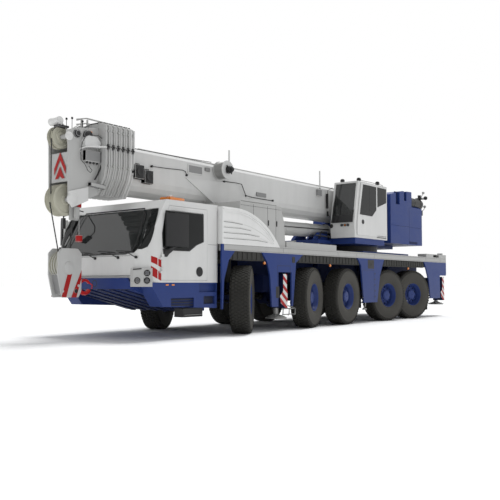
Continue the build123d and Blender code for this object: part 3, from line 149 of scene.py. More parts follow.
def tinted_glass(name, color, alpha, gloss, coat):
    look, tree, shader = new_look(name)
    tone = noise(tree, 0.9, 3.0)
    feed(tree, shader, {
        "Base Color": ramp(tree, tone, color, (0.35, 0.8), (0.7, 1.25)),
        "Roughness": spread_over(tree, tone, *rough_span, 0.03, 0.08),
        "Alpha": alpha, "Specular IOR Level": gloss, "Coat Weight": coat,
    })
    return look


def lens(name, color):
    """Ribbed lamp glass."""
    look, tree, shader = new_look(name)
    ribs = add_node(tree, "TexWave", {"Vector": object_place(tree), "Scale": 60.0}).outputs["Fac"]
    feed(tree, shader, {
        "Base Color": ramp(tree, ribs, color, (0.2, 0.75), (0.8, 1.15)),
        "Normal": bumped(tree, ribs, 0.4, 0.001), "Roughness": 0.15, "Coat Weight": 0.6,
    })
    return look


white = paint("white_paint", (0.67, 0.67, 0.66), coat=0.15)
hood_white = paint("hood_white_paint", (0.76, 0.76, 0.75), coat=0.15)
head_grey = paint("head_grey_paint", (0.47, 0.47, 0.46), rough=0.36, coat=0.1)
boom_grey = paint("boom_grey_paint", (0.62, 0.62, 0.61), rough=0.36, coat=0.25)
hook_grey = paint("hook_grey_paint", (0.52, 0.52, 0.51), coat=0.1)
grey = paint("grey_paint", (0.43, 0.43, 0.42), rough=0.42, coat=0.15)
grey_dark = paint("box_grey_paint", (0.25, 0.25, 0.25), rough=0.45, coat=0.1)
blue = paint("blue_paint", (0.02, 0.044, 0.185), rough=0.34, coat=0.04, gloss=0.16)
deep_blue = paint("chassis_blue_paint", (0.01, 0.018, 0.07), rough=0.5, coat=0.0, gloss=0.12)
red = paint("warning_red", (0.38, 0.013, 0.013), coat=0.05, gloss=0.15)
bright_red = plain("hook_red", (0.5, 0.012, 0.012), rough=0.4, coat=0.2)
dark = plain("dark_plastic", (0.035, 0.035, 0.033))
fender = plain("mudguard_plastic", (0.045, 0.045, 0.042), rough=0.7)
shadow_gap = plain("shut_line", (0.05, 0.05, 0.05), rough=0.8)
black_metal = plain("black_metal", (0.02, 0.02, 0.021), rough=0.45, bump=0.15)
cast = plain("cast_metal", (0.1, 0.1, 0.1), bump=0.5)
steel = plain("machined_steel", (0.55, 0.56, 0.58), rough=0.22, spread=0.9, metal=1.0, bump=0.05)
galvanised = plain("galvanised_steel", (0.34, 0.34, 0.33), rough=0.45, spread=0.8, metal=0.4)
rope_dark = plain("wire_rope", (0.05, 0.05, 0.05), rough=0.5, metal=0.3, scale=60.0)
rubber = plain("tyre_rubber", (0.036, 0.035, 0.031), rough=0.8, spread=0.7, scale=14.0, bump=0.35)
sidewall = plain("tyre_sidewall", (0.062, 0.059, 0.052), rough=0.75, spread=0.7, scale=10.0)
nylon = plain("sheave_nylon", (0.5, 0.49, 0.4), rough=0.5, spread=0.85)
cloth = plain("seat_cloth", (0.05, 0.05, 0.055), rough=0.9, scale=40.0, bump=0.6)
lens_dark = plain("lamp_inner_dark", (0.1, 0.1, 0.11), rough=0.12, spread=0.6, coat=0.6)
lens_clear = lens("lamp_lens_clear", (0.62, 0.64, 0.66))
lens_amber = lens("lamp_lens_amber", (0.75, 0.22, 0.02))
lens_red = lens("lamp_lens_red", (0.45, 0.015, 0.012))
glass = tinted_glass("dark_glass", (0.022, 0.024, 0.024), 0.88, 0.6, 0.2)
door_glass = tinted_glass("door_glass", (0.01, 0.011, 0.011), 1.0, 0.2, 0.0)

# Material of each carried-over CAD node, by the start of its name
node_looks = (
    ("wheel", rubber), ("knuckle", deep_blue), ("axle_beams", deep_blue), ("chassis_frame", deep_blue),
    ("outrigger_beam", deep_blue), ("outrigger_jack", galvanised), ("deck", grey), ("side_panels", blue),
    ("mudguards", fender), ("driver_cab_glass", glass), ("driver_cab_interior", dark), ("driver_cab", white),
    ("front_bumper", blue), ("engine_hood", hood_white), ("engine", cast), ("lamps", head_grey),
    ("slew_ring", black_metal), ("superstructure", blue), ("operator_cab_glass", glass),
    ("operator_cab_seat", cloth), ("operator_cab", white), ("counterweight", blue),
    ("hoist_winch", black_metal), ("luff_barrel", boom_grey), ("luff_rod", steel),
    ("boom_section", head_grey), ("boom", boom_grey), ("head_sheaves", nylon), ("hook_block", boom_grey),
)
for node_name, node_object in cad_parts.items():
    for start, look in node_looks:
        if node_name.startswith(start):
            node_object.data.materials.clear()
            node_object.data.materials.append(look)
            break

# Mesh helpers
ahead, left, up = (1, 0, 0), (0, 1, 0), (0, 0, 1)


def skin(bm, rings, looks=(0,), closed=False, capped=False):
    """Faces from each ring of corners to the next, with looks taken in turn; closed joins last and first."""
    if capped:
        for ring in (rings[-1][::-1], rings[0]):
            bm.faces.new(ring).material_index = looks[0]
    pairs = list(zip(rings, rings[1:]))
    if closed:
        pairs.append((rings[-1], rings[0]))
    for index, (one, two) in enumerate(pairs):
        for k in range(len(one)):
            nxt = (k + 1) % len(one)
            face = bm.faces.new((one[k], two[k], two[nxt], one[nxt]))
            face.material_index = looks[index % len(looks)]


def ring_of(bm, centre, aside, over, count):
    """Corners round centre, on the ellipse with the half axes aside and over."""
    turns = [math.tau * k / count for k in range(count)]
    return [bm.verts.new(centre + aside * math.cos(turn) + over * math.sin(turn)) for turn in turns]


def block(bm, low, high, look=0, capped=True):
    """A prism between two rings of points; without its caps it is a band."""
    rings = [[bm.verts.new(point) for point in ring] for ring in (low, high)]
    skin(bm, rings[::-1], (look,), capped=capped)


def prism(bm, outline, axis, start, end, look=0):
    """A prism on an outline in the two other coordinates, in their order, from start to end along axis."""
    slot = "xyz".index(axis)
    low, high = ([pair[:slot] + (place,) + pair[slot:] for pair in outline] for place in (start, end))
    block(bm, low, high, look)


def slab(bm, one, two, look=0):
    """A box between two opposite corners, given in any order."""
    (x0, x1), (y0, y1), (z0, z1) = (sorted(pair) for pair in zip(one, two))
    prism(bm, ((x0, y0), (x1, y0), (x1, y1), (x0, y1)), "z", z0, z1, look)


def pipe(bm, points, radius, sides=8, look=0):
    """A round bar or hose along the points."""
    path = [Vector(point) for point in points]
    rings = []
    for index, point in enumerate(path):
        run = (path[min(index + 1, len(path) - 1)] - path[max(index - 1, 0)]).normalized()
        aside = run.cross(Vector((0.13, 0.31, 0.94))).normalized()
        rings.append(ring_of(bm, point, aside * radius, run.cross(aside) * radius, sides))
    skin(bm, rings, (look,), capped=True)


def turned(bm, centre, axis, profile, sides=32, look=0, **joins):
    """Revolves (along, radius) points about a line through centre; joins can leave its ends open."""
    out = Vector(axis).normalized()
    aside = out.cross(Vector(up))
    if aside.length < 0.1:
        aside = Vector(ahead)
    aside.normalize()
    over = out.cross(aside)
    foot = Vector(centre)
    rings = [ring_of(bm, foot + out * along, aside * reach, over * reach, sides) for along, reach in profile]
    skin(bm, rings, **{"looks": (look,), "capped": True, **joins})


def rounded(bm, width, segments=2, angle=40.0):
    """Rounds every edge sharper than angle."""
    bm.normal_update()
    bmesh.ops.recalc_face_normals(bm, faces=bm.faces)
    limit = math.radians(angle)
    sharp = [edge for edge in bm.edges if len(edge.link_faces) == 2 and edge.calc_face_angle(0.0) > limit]
    bmesh.ops.bevel(bm, geom=sharp, offset=width, segments=segments, affect="EDGES", clamp_overlap=True)


def new_mesh(name, draw, looks, smooth, edge=0.0):
    """The mesh that draw makes, smooth but for edges sharper than smooth degrees; edge rounds its corners."""
    bm = bmesh.new()
    draw(bm)
    if edge:
        rounded(bm, edge)
    bmesh.ops.recalc_face_normals(bm, faces=bm.faces)
    bm.normal_update()
    for face in bm.faces:
        face.smooth = True
    for one in bm.edges:
        one.smooth = len(one.link_faces) == 2 and one.calc_face_angle(0.0) <= math.radians(smooth)
    mesh = bpy.data.meshes.new(name)
    bm.to_mesh(mesh)
    bm.free()
    for look in looks:
        mesh.materials.append(look)
    return mesh


def add_object(name, mesh, body, replaces=(), matrix=None):
    obj = bpy.data.objects.new(name, mesh)
    bpy.context.scene.collection.objects.link(obj)
    if matrix is not None:
        obj.matrix_world = matrix
    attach(obj, body)
    if replaces:
        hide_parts(*replaces)


both_sides = (("left", 1), ("right", -1))


def add_piece(draw, name, body, slot, *looks, smooth=35.0, edge=0.0, replaces=()):
    add_object(name, new_mesh(name, draw, looks, smooth, edge), body, replaces)


def piece(name, body, *words, sides=False, pair=False, **options):
    """Makes a piece on a body from the function below it. With sides that function draws the left and the
    right of one mesh; with pair it draws a left and a right piece, and {} in body is then the side's name."""

    def make(draw):
        if pair:
            for word, side in both_sides:
                add_piece(lambda bm: draw(bm, side), f"{name}_{word}", body.format(word), *words, **options)
        elif sides:
            add_piece(lambda bm: [draw(bm, side) for _, side in both_sides], name, body, *words, **options)
        else:
            add_piece(draw, name, body, *words, **options)
        return draw

    return make


# Tyres and rims. Local X runs out along the wheel's axis, from the kingpin's centre.
tyre_in = -0.135
tyre_out = 0.31
tyre_middle = (tyre_in + tyre_out) / 2
tread_base = 0.727
tyre_radius = 0.745
half_side = (
    (0.262, 0.336), (0.28, 0.343), (0.288, 0.358), (0.283, 0.371), (0.291, 0.384), (0.301, 0.42),
    (0.3075, 0.465), (0.3095, 0.515), (0.3085, 0.56), (0.304, 0.605), (0.2985, 0.64), (0.2985, 0.648),
    (0.3015, 0.652), (0.3015, 0.664), (0.298, 0.668), (0.293, 0.69), (0.283, 0.709), (0.262, 0.722),
    (0.225, tread_base),
)
sidewall_top = 0.67
tread_count = 56


def about_axis(along, radius, degrees):
    angle = math.radians(degrees)
    return (along, radius * math.cos(angle), radius * math.sin(angle))


def tyre(bm):
    profile = list(half_side) + [(2 * tyre_middle - x, r) for x, r in reversed(half_side)]
    followers = profile[1:] + profile[:1]
    looks = [int(max(one[1], two[1]) < sidewall_top) for one, two in zip(profile, followers)]
    turned(bm, (0, 0, 0), ahead, profile, 96, looks=looks, closed=True, capped=False)
    # rows of tread blocks: offset from the middle, half width, half length in degrees, slant, start, drop
    rows = (
        (0.0, 0.026, 2.1, 0.5, 0.0, 0.0), (0.068, 0.03, 2.2, -0.7, 0.5, 0.0),
        (-0.068, 0.03, 2.2, 0.7, 0.5, 0.0), (0.136, 0.03, 2.3, 0.6, 0.0, 0.001),
        (-0.136, 0.03, 2.3, -0.6, 0.0, 0.001),
    )
    corners = ((-1, -1), (1, -1), (1, 1), (-1, 1))
    for offset, half, long, slant, start, lowered in rows:
        for k in range(tread_count):
            turn = 360.0 * (k + start) / tread_count
            rings = []
            for shrink, radius in ((1.0, tread_base - 0.004), (0.88, tyre_radius - lowered)):
                rings.append([
                    about_axis(tyre_middle + offset + sx * half * shrink, radius,
                               turn + (sa * long + slant * sx) * shrink)
                    for sx, sa in corners
                ])
            block(bm, *rings)
    # lugs on the tread's shoulders, and the short ribs below them on the sidewall
    for side in (1, -1):
        for k in range(tread_count):
            turn = 360.0 * (k + 0.5) / tread_count
            lug = ((0.172, -1), (0.204, -1), (0.204, 1), (0.172, 1))
            base = {0.172: tread_base - 0.006, 0.204: 0.7}
            crown = {0.172: tyre_radius - 0.003, 0.204: tyre_radius - 0.017}
            low = [about_axis(tyre_middle + side * out, base[out], turn + sa * 2.4) for out, sa in lug]
            high = [about_axis(tyre_middle + side * out, crown[out], turn + sa * 2.1) for out, sa in lug]
            block(bm, low, high)
            rib = ((0.672, -1, 0.2165), (0.705, -1, 0.2115), (0.705, 1, 0.2115), (0.672, 1, 0.2165))
            low = [about_axis(tyre_middle + side * 0.196, radius, turn + sa * 1.2) for radius, sa, _ in rib]
            high = [about_axis(tyre_middle + side * out, radius, turn + sa * 1.2) for radius, sa, out in rib]
            block(bm, low, high)


# The disc is dished: out by dish_depth over dish_width from its edge
disc_edge = 0.291
disc_along = 0.118
dish_depth = 0.034
dish_width = 0.127
disc_rows = [disc_edge - 0.0115 * step for step in range(12)]
disc_segments = 120
hole_pitch = 36.0
hole_ring = 0.24
hole_long = 0.036
hole_tall = 0.026
# Corners this far from a hole's middle, in hole sizes, are drawn to its rim
drawn_from, drawn_to = 0.72, 1.35


def hole_distance(radius, turn):
    """The turn from the nearest hand hole's middle, and the distance from it in hole sizes."""
    local = turn % hole_pitch - hole_pitch / 2
    return local, math.hypot(math.radians(local) * radius / hole_long, (radius - hole_ring) / hole_tall)


def rim(bm):
    flange = (
        (0.262, 0.3345), (0.27, 0.346), (0.2775, 0.366), (0.2815, 0.3695), (0.284, 0.366), (0.281, 0.35),
        (0.272, 0.333), (0.256, 0.325), (0.205, 0.316), (0.185, 0.3), (0.15, 0.292), (0.112, 0.29),
    )
    back = ((0.112, 0.29), (0.05, 0.298), (-0.085, 0.3), (-0.092, 0.333))
    hub = (
        (0.152, 0.166), (0.162, 0.163), (0.166, 0.15), (0.206, 0.147), (0.214, 0.14), (0.216, 0.128),
        (0.226, 0.124), (0.231, 0.1), (0.234, 0.055), (0.2345, 0.012),
    )
    axle = ((-0.02, 0.2), (0.09, 0.2), (0.105, 0.155))
    for profile, sides, look in ((flange, 72, 0), (back, 48, 0), (hub, 48, 0), (axle, 32, 1)):
        turned(bm, (0, 0, 0), ahead, profile, sides, look, capped=False)
    # dished disc with ten hand holes, its corners drawn to the holes' rims
    grid = []
    for radius in disc_rows:
        row = []
        for k in range(disc_segments):
            turn = 360.0 * k / disc_segments
            local, far = hole_distance(radius, turn)
            shown_radius = radius
            if drawn_from < far < drawn_to:
                shown_radius = hole_ring + (radius - hole_ring) / far
                turn += local / far - local
            along = disc_along + dish_depth * (disc_edge - shown_radius) / dish_width
            row.append(bm.verts.new(about_axis(along, shown_radius, turn)))
        grid.append(row)
    for row in range(len(disc_rows) - 1):
        for k in range(disc_segments):
            middle = (disc_rows[row] + disc_rows[row + 1]) / 2
            if hole_distance(middle, 360.0 * (k + 0.5) / disc_segments)[1] >= 1.0:
                nxt = (k + 1) % disc_segments
                bm.faces.new((grid[row][k], grid[row + 1][k], grid[row + 1][nxt], grid[row][nxt]))
    # nuts: ring radius, count, half width, base, tip, corners
    for ring_radius, count, nut, base, tip, corners in (
        (0.183, 10, 0.019, 0.145, 0.176, 6), (0.135, 12, 0.009, 0.212, 0.223, 6),
        (0.06, 3, 0.012, 0.23, 0.2345, 12),
    ):
        for k in range(count):
            _, cy, cz = about_axis(0.0, ring_radius, 360.0 * k / count)
            turns = [math.tau * s / corners for s in range(corners)]
            block(bm, *(
                [(along, cy + size * math.cos(turn), cz + size * math.sin(turn)) for turn in turns]
                for along, size in ((base, nut), (tip, 0.9 * nut))
            ))


# Axles: number, place, and the steering of the left and the right wheel at rest
axle_rows = (
    (1, 3.38, 33.0, 26.6), (2, 0.79, 15.5, 12.1), (3, -0.91, 4.5, 3.5), (4, -3.33, -12.5, -9.7),
    (5, -5.05, -18.5, -14.5),
)
kingpin_y = 1.19
wheel_shapes = (
    ("tyre", new_mesh("tyre_1_left", tyre, (rubber, sidewall), 32), "tyre_rubber"),
    ("rim", new_mesh("rim_1_left", rim, (blue, black_metal), 32), "blue_paint"),
)
for number, axle_x, left_steer, right_steer in axle_rows:
    for side_name, side, steer in (("left", 1, left_steer), ("right", -1, right_steer)):
        turn = math.radians(steer)
        out = Vector((-side * math.sin(turn), side * math.cos(turn), 0.0))
        across = Vector(up).cross(out)
        place = Matrix((out, across, up)).transposed().to_4x4()
        place.translation = (axle_x, side * kingpin_y, tyre_radius)
        wheel = f"wheel_{number}_{side_name}"
        for word, mesh, slot in wheel_shapes:
            add_object(f"{word}_{number}_{side_name}", mesh, wheel, (wheel,), place)

# Driver's cab: a few places that the trim shares
cab_side = 1.375
cab_front = 6.35
cab_corner_x = 5.97
cab_corner_y = 0.995
cab_corner_r = 0.38


def corner_point(turn, z, side, lift=0.003):
    """A point on the cab's round front corner; turn 0 faces the side and 90 the front."""
    angle = math.radians(turn)
    reach = cab_corner_r + lift
    return (cab_corner_x + reach * math.sin(angle), side * (cab_corner_y + reach * math.cos(angle)), z)


# Each row: turn round the corner, top, bottom. The last one lies on the flat side.
corner_stripes = (
    ((29.5, 1.612, 1.492), (15.0, 1.585, 1.455), (0.0, 1.547, 1.408), (-5.0, 1.537, 1.396)),
    ((29.5, 1.424, 1.25), (15.0, 1.372, 1.198), (0.0, 1.31, 1.154), (-5.0, 1.296, 1.144)),
)


@piece("cab_stripes", "chassis", "white_paint", red, pair=True)
def cab_stripes(bm, side):
    for stripe in corner_stripes:
        rows = [[bm.verts.new(corner_point(turn, z, side)) for z in ends] for turn, *ends in stripe]
        for one, two in zip(rows, rows[1:]):
            bm.faces.new((one[0], one[1], two[1], two[0]))


# Three lamps and a row of small marks in each housing
lamp_rows = ((6.372, 1.19, 1.147, 67.0), (6.258, 1.33, 1.287, 35.0), (6.262, 1.33, 1.146, 35.0))
mark_half = 0.006


@piece("headlamps", "chassis", "lamp_plastic", black_metal, lens_dark, pair=True)
def headlamps(bm, side):
    for x, y, z, heading in lamp_rows:
        turn = math.radians(heading)
        axis = (math.sin(turn), side * math.cos(turn), 0)
        bezel = ((-0.04, 0.06), (0.012, 0.06), (0.018, 0.054), (0.012, 0.047), (-0.004, 0.04))
        turned(bm, (x, side * y, z), axis, bezel, 24)
        turned(bm, (x, side * y, z), axis, ((-0.004, 0.038), (0.006, 0.034), (0.01, 0.015)), 20, 1)
    for step in range(8):
        along = step / 7
        x = 6.41 - 0.06 * along
        y = side * (1.125 + 0.14 * along)
        z = 1.345 + 0.012 * along
        slab(bm, (x - mark_half, y - mark_half, z), (x + mark_half, y + mark_half, z + 0.02))


@piece("cab_beacon", "chassis", "lamp_plastic", lens_amber, grey, edge=0.004)
def beacon(bm):
    base = ((5.3, 0.8), (5.5, 0.8), (5.6, 0.9), (5.6, 1.26), (5.3, 1.27), (5.12, 1.24), (5.12, 0.86))
    prism(bm, base, "z", 2.68, 2.735, 1)
    prism(bm, ((5.57, 1.0), (5.57, 1.24), (5.3, 1.25), (5.14, 1.22), (5.14, 1.04)), "z", 2.73, 2.79)
    turned(bm, (5.47, 1.13, 2.78), up, ((0, 0.075), (0.03, 0.075), (0.045, 0.06), (0.05, 0.02)), 24, 1)
    turned(bm, (5.42, 0.9, 2.74), up, ((0, 0.068), (0.05, 0.07), (0.075, 0.06), (0.082, 0.03)), 24)
    prism(bm, ((5.36, 2.745), (5.1, 2.745), (5.1, 2.765), (5.34, 2.8)), "y", 0.87, 0.95)


# Windscreen: it leans back from its foot to its top
screen_foot_z = 1.65
screen_top_x = 5.9
screen_top_z = 2.56
screen_lean = (cab_front - screen_top_x) / (screen_top_z - screen_foot_z)


def screen_point(y, z, lift=0.006):
    """A point on the leaning windscreen."""
    return (cab_front - (z - screen_foot_z) * screen_lean + lift, y, z + lift * 0.5)


@piece("cab_wipers", "chassis", "dark_plastic", black_metal)
def wipers(bm):
    for y, lean_y in ((-0.042, -0.37), (0.634, -0.35), (1.13, -0.33)):
        foot = (6.372, y, 1.585)
        heel = screen_point(y + lean_y * 0.25, 1.675, 0.016)
        tip = screen_point(y + lean_y, 1.7, 0.02)
        turned(bm, foot, ahead, ((-0.03, 0.026), (0.004, 0.026), (0.01, 0.018)), 16)
        pipe(bm, (foot, (6.385, y + lean_y * 0.3, 1.63), tip), 0.009, 6)
        pipe(bm, (heel, tip, screen_point(y + lean_y * 1.75, 1.715, 0.016)), 0.011, 6)


# Half of the windscreen's edge from its foot up: Y, Z and the way out
screen_edge = (
    (0.85, 1.665, 0, -1), (0.97, 1.705, 0.7, -0.7), (1.02, 1.825, 1, 0), (0.93, 2.435, 1, 0),
    (0.89, 2.535, 0, 1),
)
screen_band = 0.028


@piece("cab_screen_trim", "chassis", "dark_plastic", black_metal)
def screen_trim(bm):
    edge = list(screen_edge) + [(-y, z, -out_y, out_z) for y, z, out_y, out_z in reversed(screen_edge)]
    inner = [screen_point(y, z) for y, z, *_ in edge]
    outer = [screen_point(y + screen_band * out_y, z + screen_band * out_z) for y, z, out_y, out_z in edge]
    block(bm, inner, outer, capped=False)


@piece("left_mirror", "cab_door_left", "dark_plastic", black_metal, edge=0.018)
def left_mirror(bm):
    outline = ((5.87, 1.405), (5.87, 1.435), (5.58, 1.495), (5.3, 1.495), (5.27, 1.46), (5.56, 1.425))
    prism(bm, outline, "z", 1.8, 2.45)
    pipe(bm, ((5.86, 1.39, 1.7), (5.8, 1.45, 1.72), (5.6, 1.46, 1.82)), 0.022)
    pipe(bm, ((5.72, 1.39, 2.47), (5.66, 1.45, 2.47), (5.55, 1.46, 2.43)), 0.018)


# Dark glass that carries the windscreen round the corner, laid on the cab's own surface
cab_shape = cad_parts["driver_cab"].data
cab_corners = [corner.co.copy() for corner in cab_shape.vertices]
cab_tree = BVHTree.FromPolygons(cab_corners, [list(face.vertices) for face in cab_shape.polygons])
wrap_foot = (5.55, 0.95)
wrap_start = 9.0
wrap_steps = 16
# Each row: height, and the turn at which the glass ends
wrap_rows = (
    (1.735, 20.0), (1.78, 27.0), (1.88, 31.0), (2.0, 34.0), (2.12, 36.0), (2.24, 38.0), (2.36, 40.0),
    (2.48, 42.0), (2.53, 42.0),
)


@piece("screen_wrap", "chassis", "dark_glass", door_glass, sides=True)
def screen_wrap(bm, side):
    grid = []
    for z, end in wrap_rows:
        row = []
        for step in range(wrap_steps + 1):
            turn = math.radians(wrap_start + (end - wrap_start) * step / wrap_steps)
            out = Vector((math.cos(turn), math.sin(turn), 0.0))
            foot = Vector((*wrap_foot, z))
            spot, normal = cab_tree.ray_cast(foot + out * 2.0, -out)[:2]
            x, y, z_found = spot + normal.normalized() * 0.01 if spot else foot + out * 0.6
            row.append(bm.verts.new((x, side * y, z_found)))
        grid.append(row)
    for low, high in zip(grid, grid[1:]):
        for k in range(wrap_steps):
            bm.faces.new((low[k], low[k + 1], high[k + 1], high[k]))


def window_band(bm, outline, y, width):
    """A rubber band round a window outline on a side face."""
    middle = sum((Vector(point) for point in outline), Vector((0, 0))) / len(outline)
    outer = []
    for point in outline:
        x, z = Vector(point) + (Vector(point) - middle).normalized() * width
        outer.append((x, y, z))
    block(bm, [(x, y, z) for x, z in outline], outer, capped=False)


door_window = (
    (4.758, 2.484), (5.818, 2.479), (5.9, 2.05), (5.885, 1.79), (5.79, 1.735), (5.17, 1.745), (4.965, 1.864),
    (4.755, 1.934),
)
handle_x = 4.86
handle_z = 1.327


@piece("door_trim", "cab_door_{}", "dark_glass", black_metal, door_glass, pair=True)
def door_trim(bm, side):
    window_band(bm, door_window, side * (cab_side + 0.004), 0.022)
    prism(bm, door_window, "y", side * (cab_side + 0.001), side * (cab_side + 0.003), 1)
    bowl = ((0, 0.098), (0.016, 0.098), (0.02, 0.09), (0.012, 0.08), (0.004, 0.074))
    turned(bm, (handle_x, side * (cab_side - 0.01), handle_z), (0, side, 0), bowl)
    plate = ((0, 0.092), (0.008, 0.088), (0.009, 0.001))
    turned(bm, (handle_x, side * (cab_side - 0.002), handle_z), (0, side, 0), plate)
    slab(bm, (4.8, side * 1.376, 1.335), (4.92, side * 1.398, 1.352))
    corner = ((5.9, 1.755), (5.6, 1.745), (5.74, 1.66), (5.8, 1.6), (5.87, 1.6))
    prism(bm, corner, "y", side * 1.374, side * 1.395)


@piece("cab_shut_lines", "chassis", "dark_plastic", shadow_gap)
def shut_lines(bm):
    for side in (1, -1):
        out = side * (cab_side + 0.0015)
        inner = side * (cab_side - 0.0085)
        slab(bm, (4.318, out, 1.12), (4.324, inner, 2.6))
        slab(bm, (4.33, out, 1.885), (4.6, inner, 1.891))
    slab(bm, (cab_front - 0.004, -0.96, 1.235), (cab_front + 0.002, 0.96, 1.241))
    slab(bm, (cab_front - 0.004, -0.96, 1.615), (cab_front + 0.002, 0.96, 1.62))


@piece("cab_mirrors", "chassis", "dark_plastic", black_metal, edge=0.006)
def cab_mirrors(bm):
    prism(bm, ((6.0, -1.41), (6.03, -1.5), (6.1, -1.5), (6.12, -1.42)), "z", 1.9, 2.42)
    prism(bm, ((6.05, -1.43), (6.06, -1.5), (6.14, -1.5), (6.16, -1.44)), "z", 1.62, 1.86)
    pipe(bm, ((5.95, -1.3, 2.58), (6.06, -1.45, 2.52), (6.08, -1.46, 1.64), (6.02, -1.38, 1.56)), 0.014)
    pipe(bm, ((5.93, -0.95, 2.6), (6.25, -1.02, 2.66), (6.36, -1.05, 2.6), (6.37, -1.05, 2.45)), 0.012)
    prism(bm, ((6.33, -1.1), (6.38, -1.12), (6.41, -1.0), (6.36, -0.98)), "z", 2.22, 2.44)


# Front bumper: side lamps, vents, step treads, the round cover in the middle and the bars below, with a black
# sheet behind them as painted shade under the bumper
@piece("bumper_trim", "chassis", "dark_plastic", black_metal, lens_amber)
def bumper_trim(bm):
    for side in (1, -1):
        for x in (5.78, 5.617):
            slab(bm, (x - 0.035, side * 1.37, 1.05), (x + 0.035, side * 1.383, 1.078), 1)
        for k in range(7):
            z = 0.69 + 0.024 * k
            slab(bm, (4.4, side * 1.32, z), (4.72, side * 1.335, z + 0.012))
        for k in range(3):
            z = 0.66 + 0.055 * k
            slab(bm, (5.04, side * 1.3, z), (5.66, side * 1.365, z + 0.012))
    turned(bm, (6.395, 0, 1.09), ahead, ((0, 0.07), (0.006, 0.07), (0.0065, 0.055), (-0.03, 0.05)), 24)


belly_front_x, belly_front_z = 6.38, 0.984
belly_rear_x, belly_rear_z = 4.66, 0.53
bar_width = 0.13


@piece("bumper_bars_and_shade", "chassis", "dark_plastic", black_metal, deep_blue)
def bumper_bars_and_shade(bm):
    # A black sheet behind the bars paints the shade under the bumper's belly
    shade_sheet = ((6.385, -1.0, 0.9865), (6.385, 1.0, 0.9865), (4.62, 1.0, 0.52), (4.62, -1.0, 0.52))
    block(bm, [(x, y, z - 0.004) for x, y, z in shade_sheet], shade_sheet)
    for k in range(6):
        y = -0.96 + 0.34 * k
        bar = (
            (belly_front_x, y, belly_front_z), (belly_front_x, y + bar_width, belly_front_z),
            (belly_rear_x, y + 2 * bar_width, belly_rear_z), (belly_rear_x, y + bar_width, belly_rear_z),
        )
        block(bm, [(x, along, z - 0.03) for x, along, z in bar], bar, 1)
    slab(bm, (6.28, -1.02, 0.975), (6.395, 1.02, 0.99))


# Hood: raised rim, and four side ribs with grooves under them
hood_arc = ((4.26, 2.6), (3.86, 2.6), (3.4, 2.535), (2.98, 2.385), (2.66, 2.19), (2.46, 2.0))
rib_rows = [(2.045 + 0.115 * k, 2.72 + 0.3 * k) for k in range(4)]
rib_start = 4.25
rib_bend = 0.35


@piece("hood_ribs", "chassis", "white_paint", white, sides=True)
def hood_ribs(bm, side):
    pipe(bm, [(x + 0.02, side * 1.498, z + 0.055) for x, z in hood_arc], 0.02)
    for low_z, far in rib_rows:
        z = low_z + 0.015
        y = side * 1.499
        pipe(bm, ((rib_start, y, z), (far + rib_bend, y, z), (far, y, z - 0.03)), 0.009, 6)


@piece("hood_grooves", "chassis", "dark_plastic", shadow_gap, sides=True)
def hood_grooves(bm, side):
    for z, far in rib_rows:
        bend = far + rib_bend
        outline = (
            (rib_start, z - 0.004), (bend, z - 0.004), (far, z - 0.034), (far, z - 0.04), (bend, z - 0.012),
            (rib_start, z - 0.012),
        )
        prism(bm, outline, "y", side * 1.4995, side * 1.5015)


@piece("side_box_lines", "chassis", "dark_plastic", shadow_gap, black_metal, sides=True)
def side_box_lines(bm, side):
    face = side * 1.462
    behind = side * 1.456
    for x in (3.18, 2.66, 2.34):
        slab(bm, (x, face, 1.96), (x + 0.006, behind, 2.84))
    slab(bm, (2.16, face, 2.79), (3.64, behind, 2.796))
    for x in (2.3, 2.62):
        slab(bm, (x, face, 2.4), (x + 0.03, side * 1.472, 2.52), 1)
    for k in range(9):
        z = 2.02 + 0.085 * k
        slab(bm, (2.134, side * 0.62, z), (2.139, side * 1.4, z + 0.015))


@piece("deck_rails", "chassis", "steel", galvanised)
def deck_rails(bm):
    for y in (1.4, 0.66):
        pipe(bm, ((3.55, y, 2.865), (3.55, y, 2.895), (2.25, y, 2.895), (2.25, y, 2.865)), 0.011, 6)
    for side in (1, -1):
        y = side * 1.3
        pipe(bm, ((2.1, y, 1.93), (2.1, y, 2.02), (1.3, y, 2.12), (1.3, y, 2.07)), 0.012, 6)
        for x in (1.85, 1.1, 0.35, -0.25):
            turned(bm, (x, side * 1.35, 2.075), up, ((0, 0.035), (0.012, 0.03), (0.02, 0.012)), 12)


# Carrier sides: ribs over the wheels, side lamps, black boxes, step treads, shut lines and deck edge
fender_spans = ((3.93, 2.874), (1.45, -1.5), (-2.66, -5.66))
fender_pitch = 0.16
panel_face = 1.497
deck_face = 1.5015


@piece("fender_ribs", "chassis", "dark_plastic", fender, edge=0.003, sides=True)
def fender_ribs(bm, side):
    for front, rear in fender_spans:
        count = int((front - rear) / fender_pitch)
        for k in range(count + 1):
            x = rear + 0.03 + (front - rear - 0.06) * k / count
            slab(bm, (x - 0.012, side * 1.462, 1.6), (x + 0.012, side * 1.474, 1.765))
        slab(bm, (rear, side * 1.46, 1.585), (front, side * 1.478, 1.603))


@piece("side_lamps", "chassis", "lamp_plastic", lens_amber, sides=True)
def side_lamps(bm, side):
    for x in (2.8, -0.007, -4.59, -6.2):
        dome = ((-0.01, 0.034), (0.012, 0.034), (0.022, 0.026), (0.025, 0.01))
        turned(bm, (x, side * 1.47, 1.548), (0, side, 0), dome, 16)


# Step treads and shut lines on the side panels, then the two boxes: low X, high X, low Z, high Z
panel_slabs = (
    *((-2.4, -2.36, z, z + 0.045) for z in (0.7, 0.86, 1.02, 1.18, 1.34)),
    (-1.66, -1.654, 0.62, 1.46), (-2.33, -2.324, 0.62, 1.46), (-2.33, -1.66, 1.455, 1.461),
    (2.33, 2.337, 0.6, 1.5), (1.82, 1.827, 1.33, 1.5), (1.83, 2.33, 1.495, 1.502), (2.27, 2.4, 0.76, 1.02),
)
panel_boxes = ((1.626, 1.75, 1.575, 1.72), (-2.327, -1.965, 1.5, 1.745))


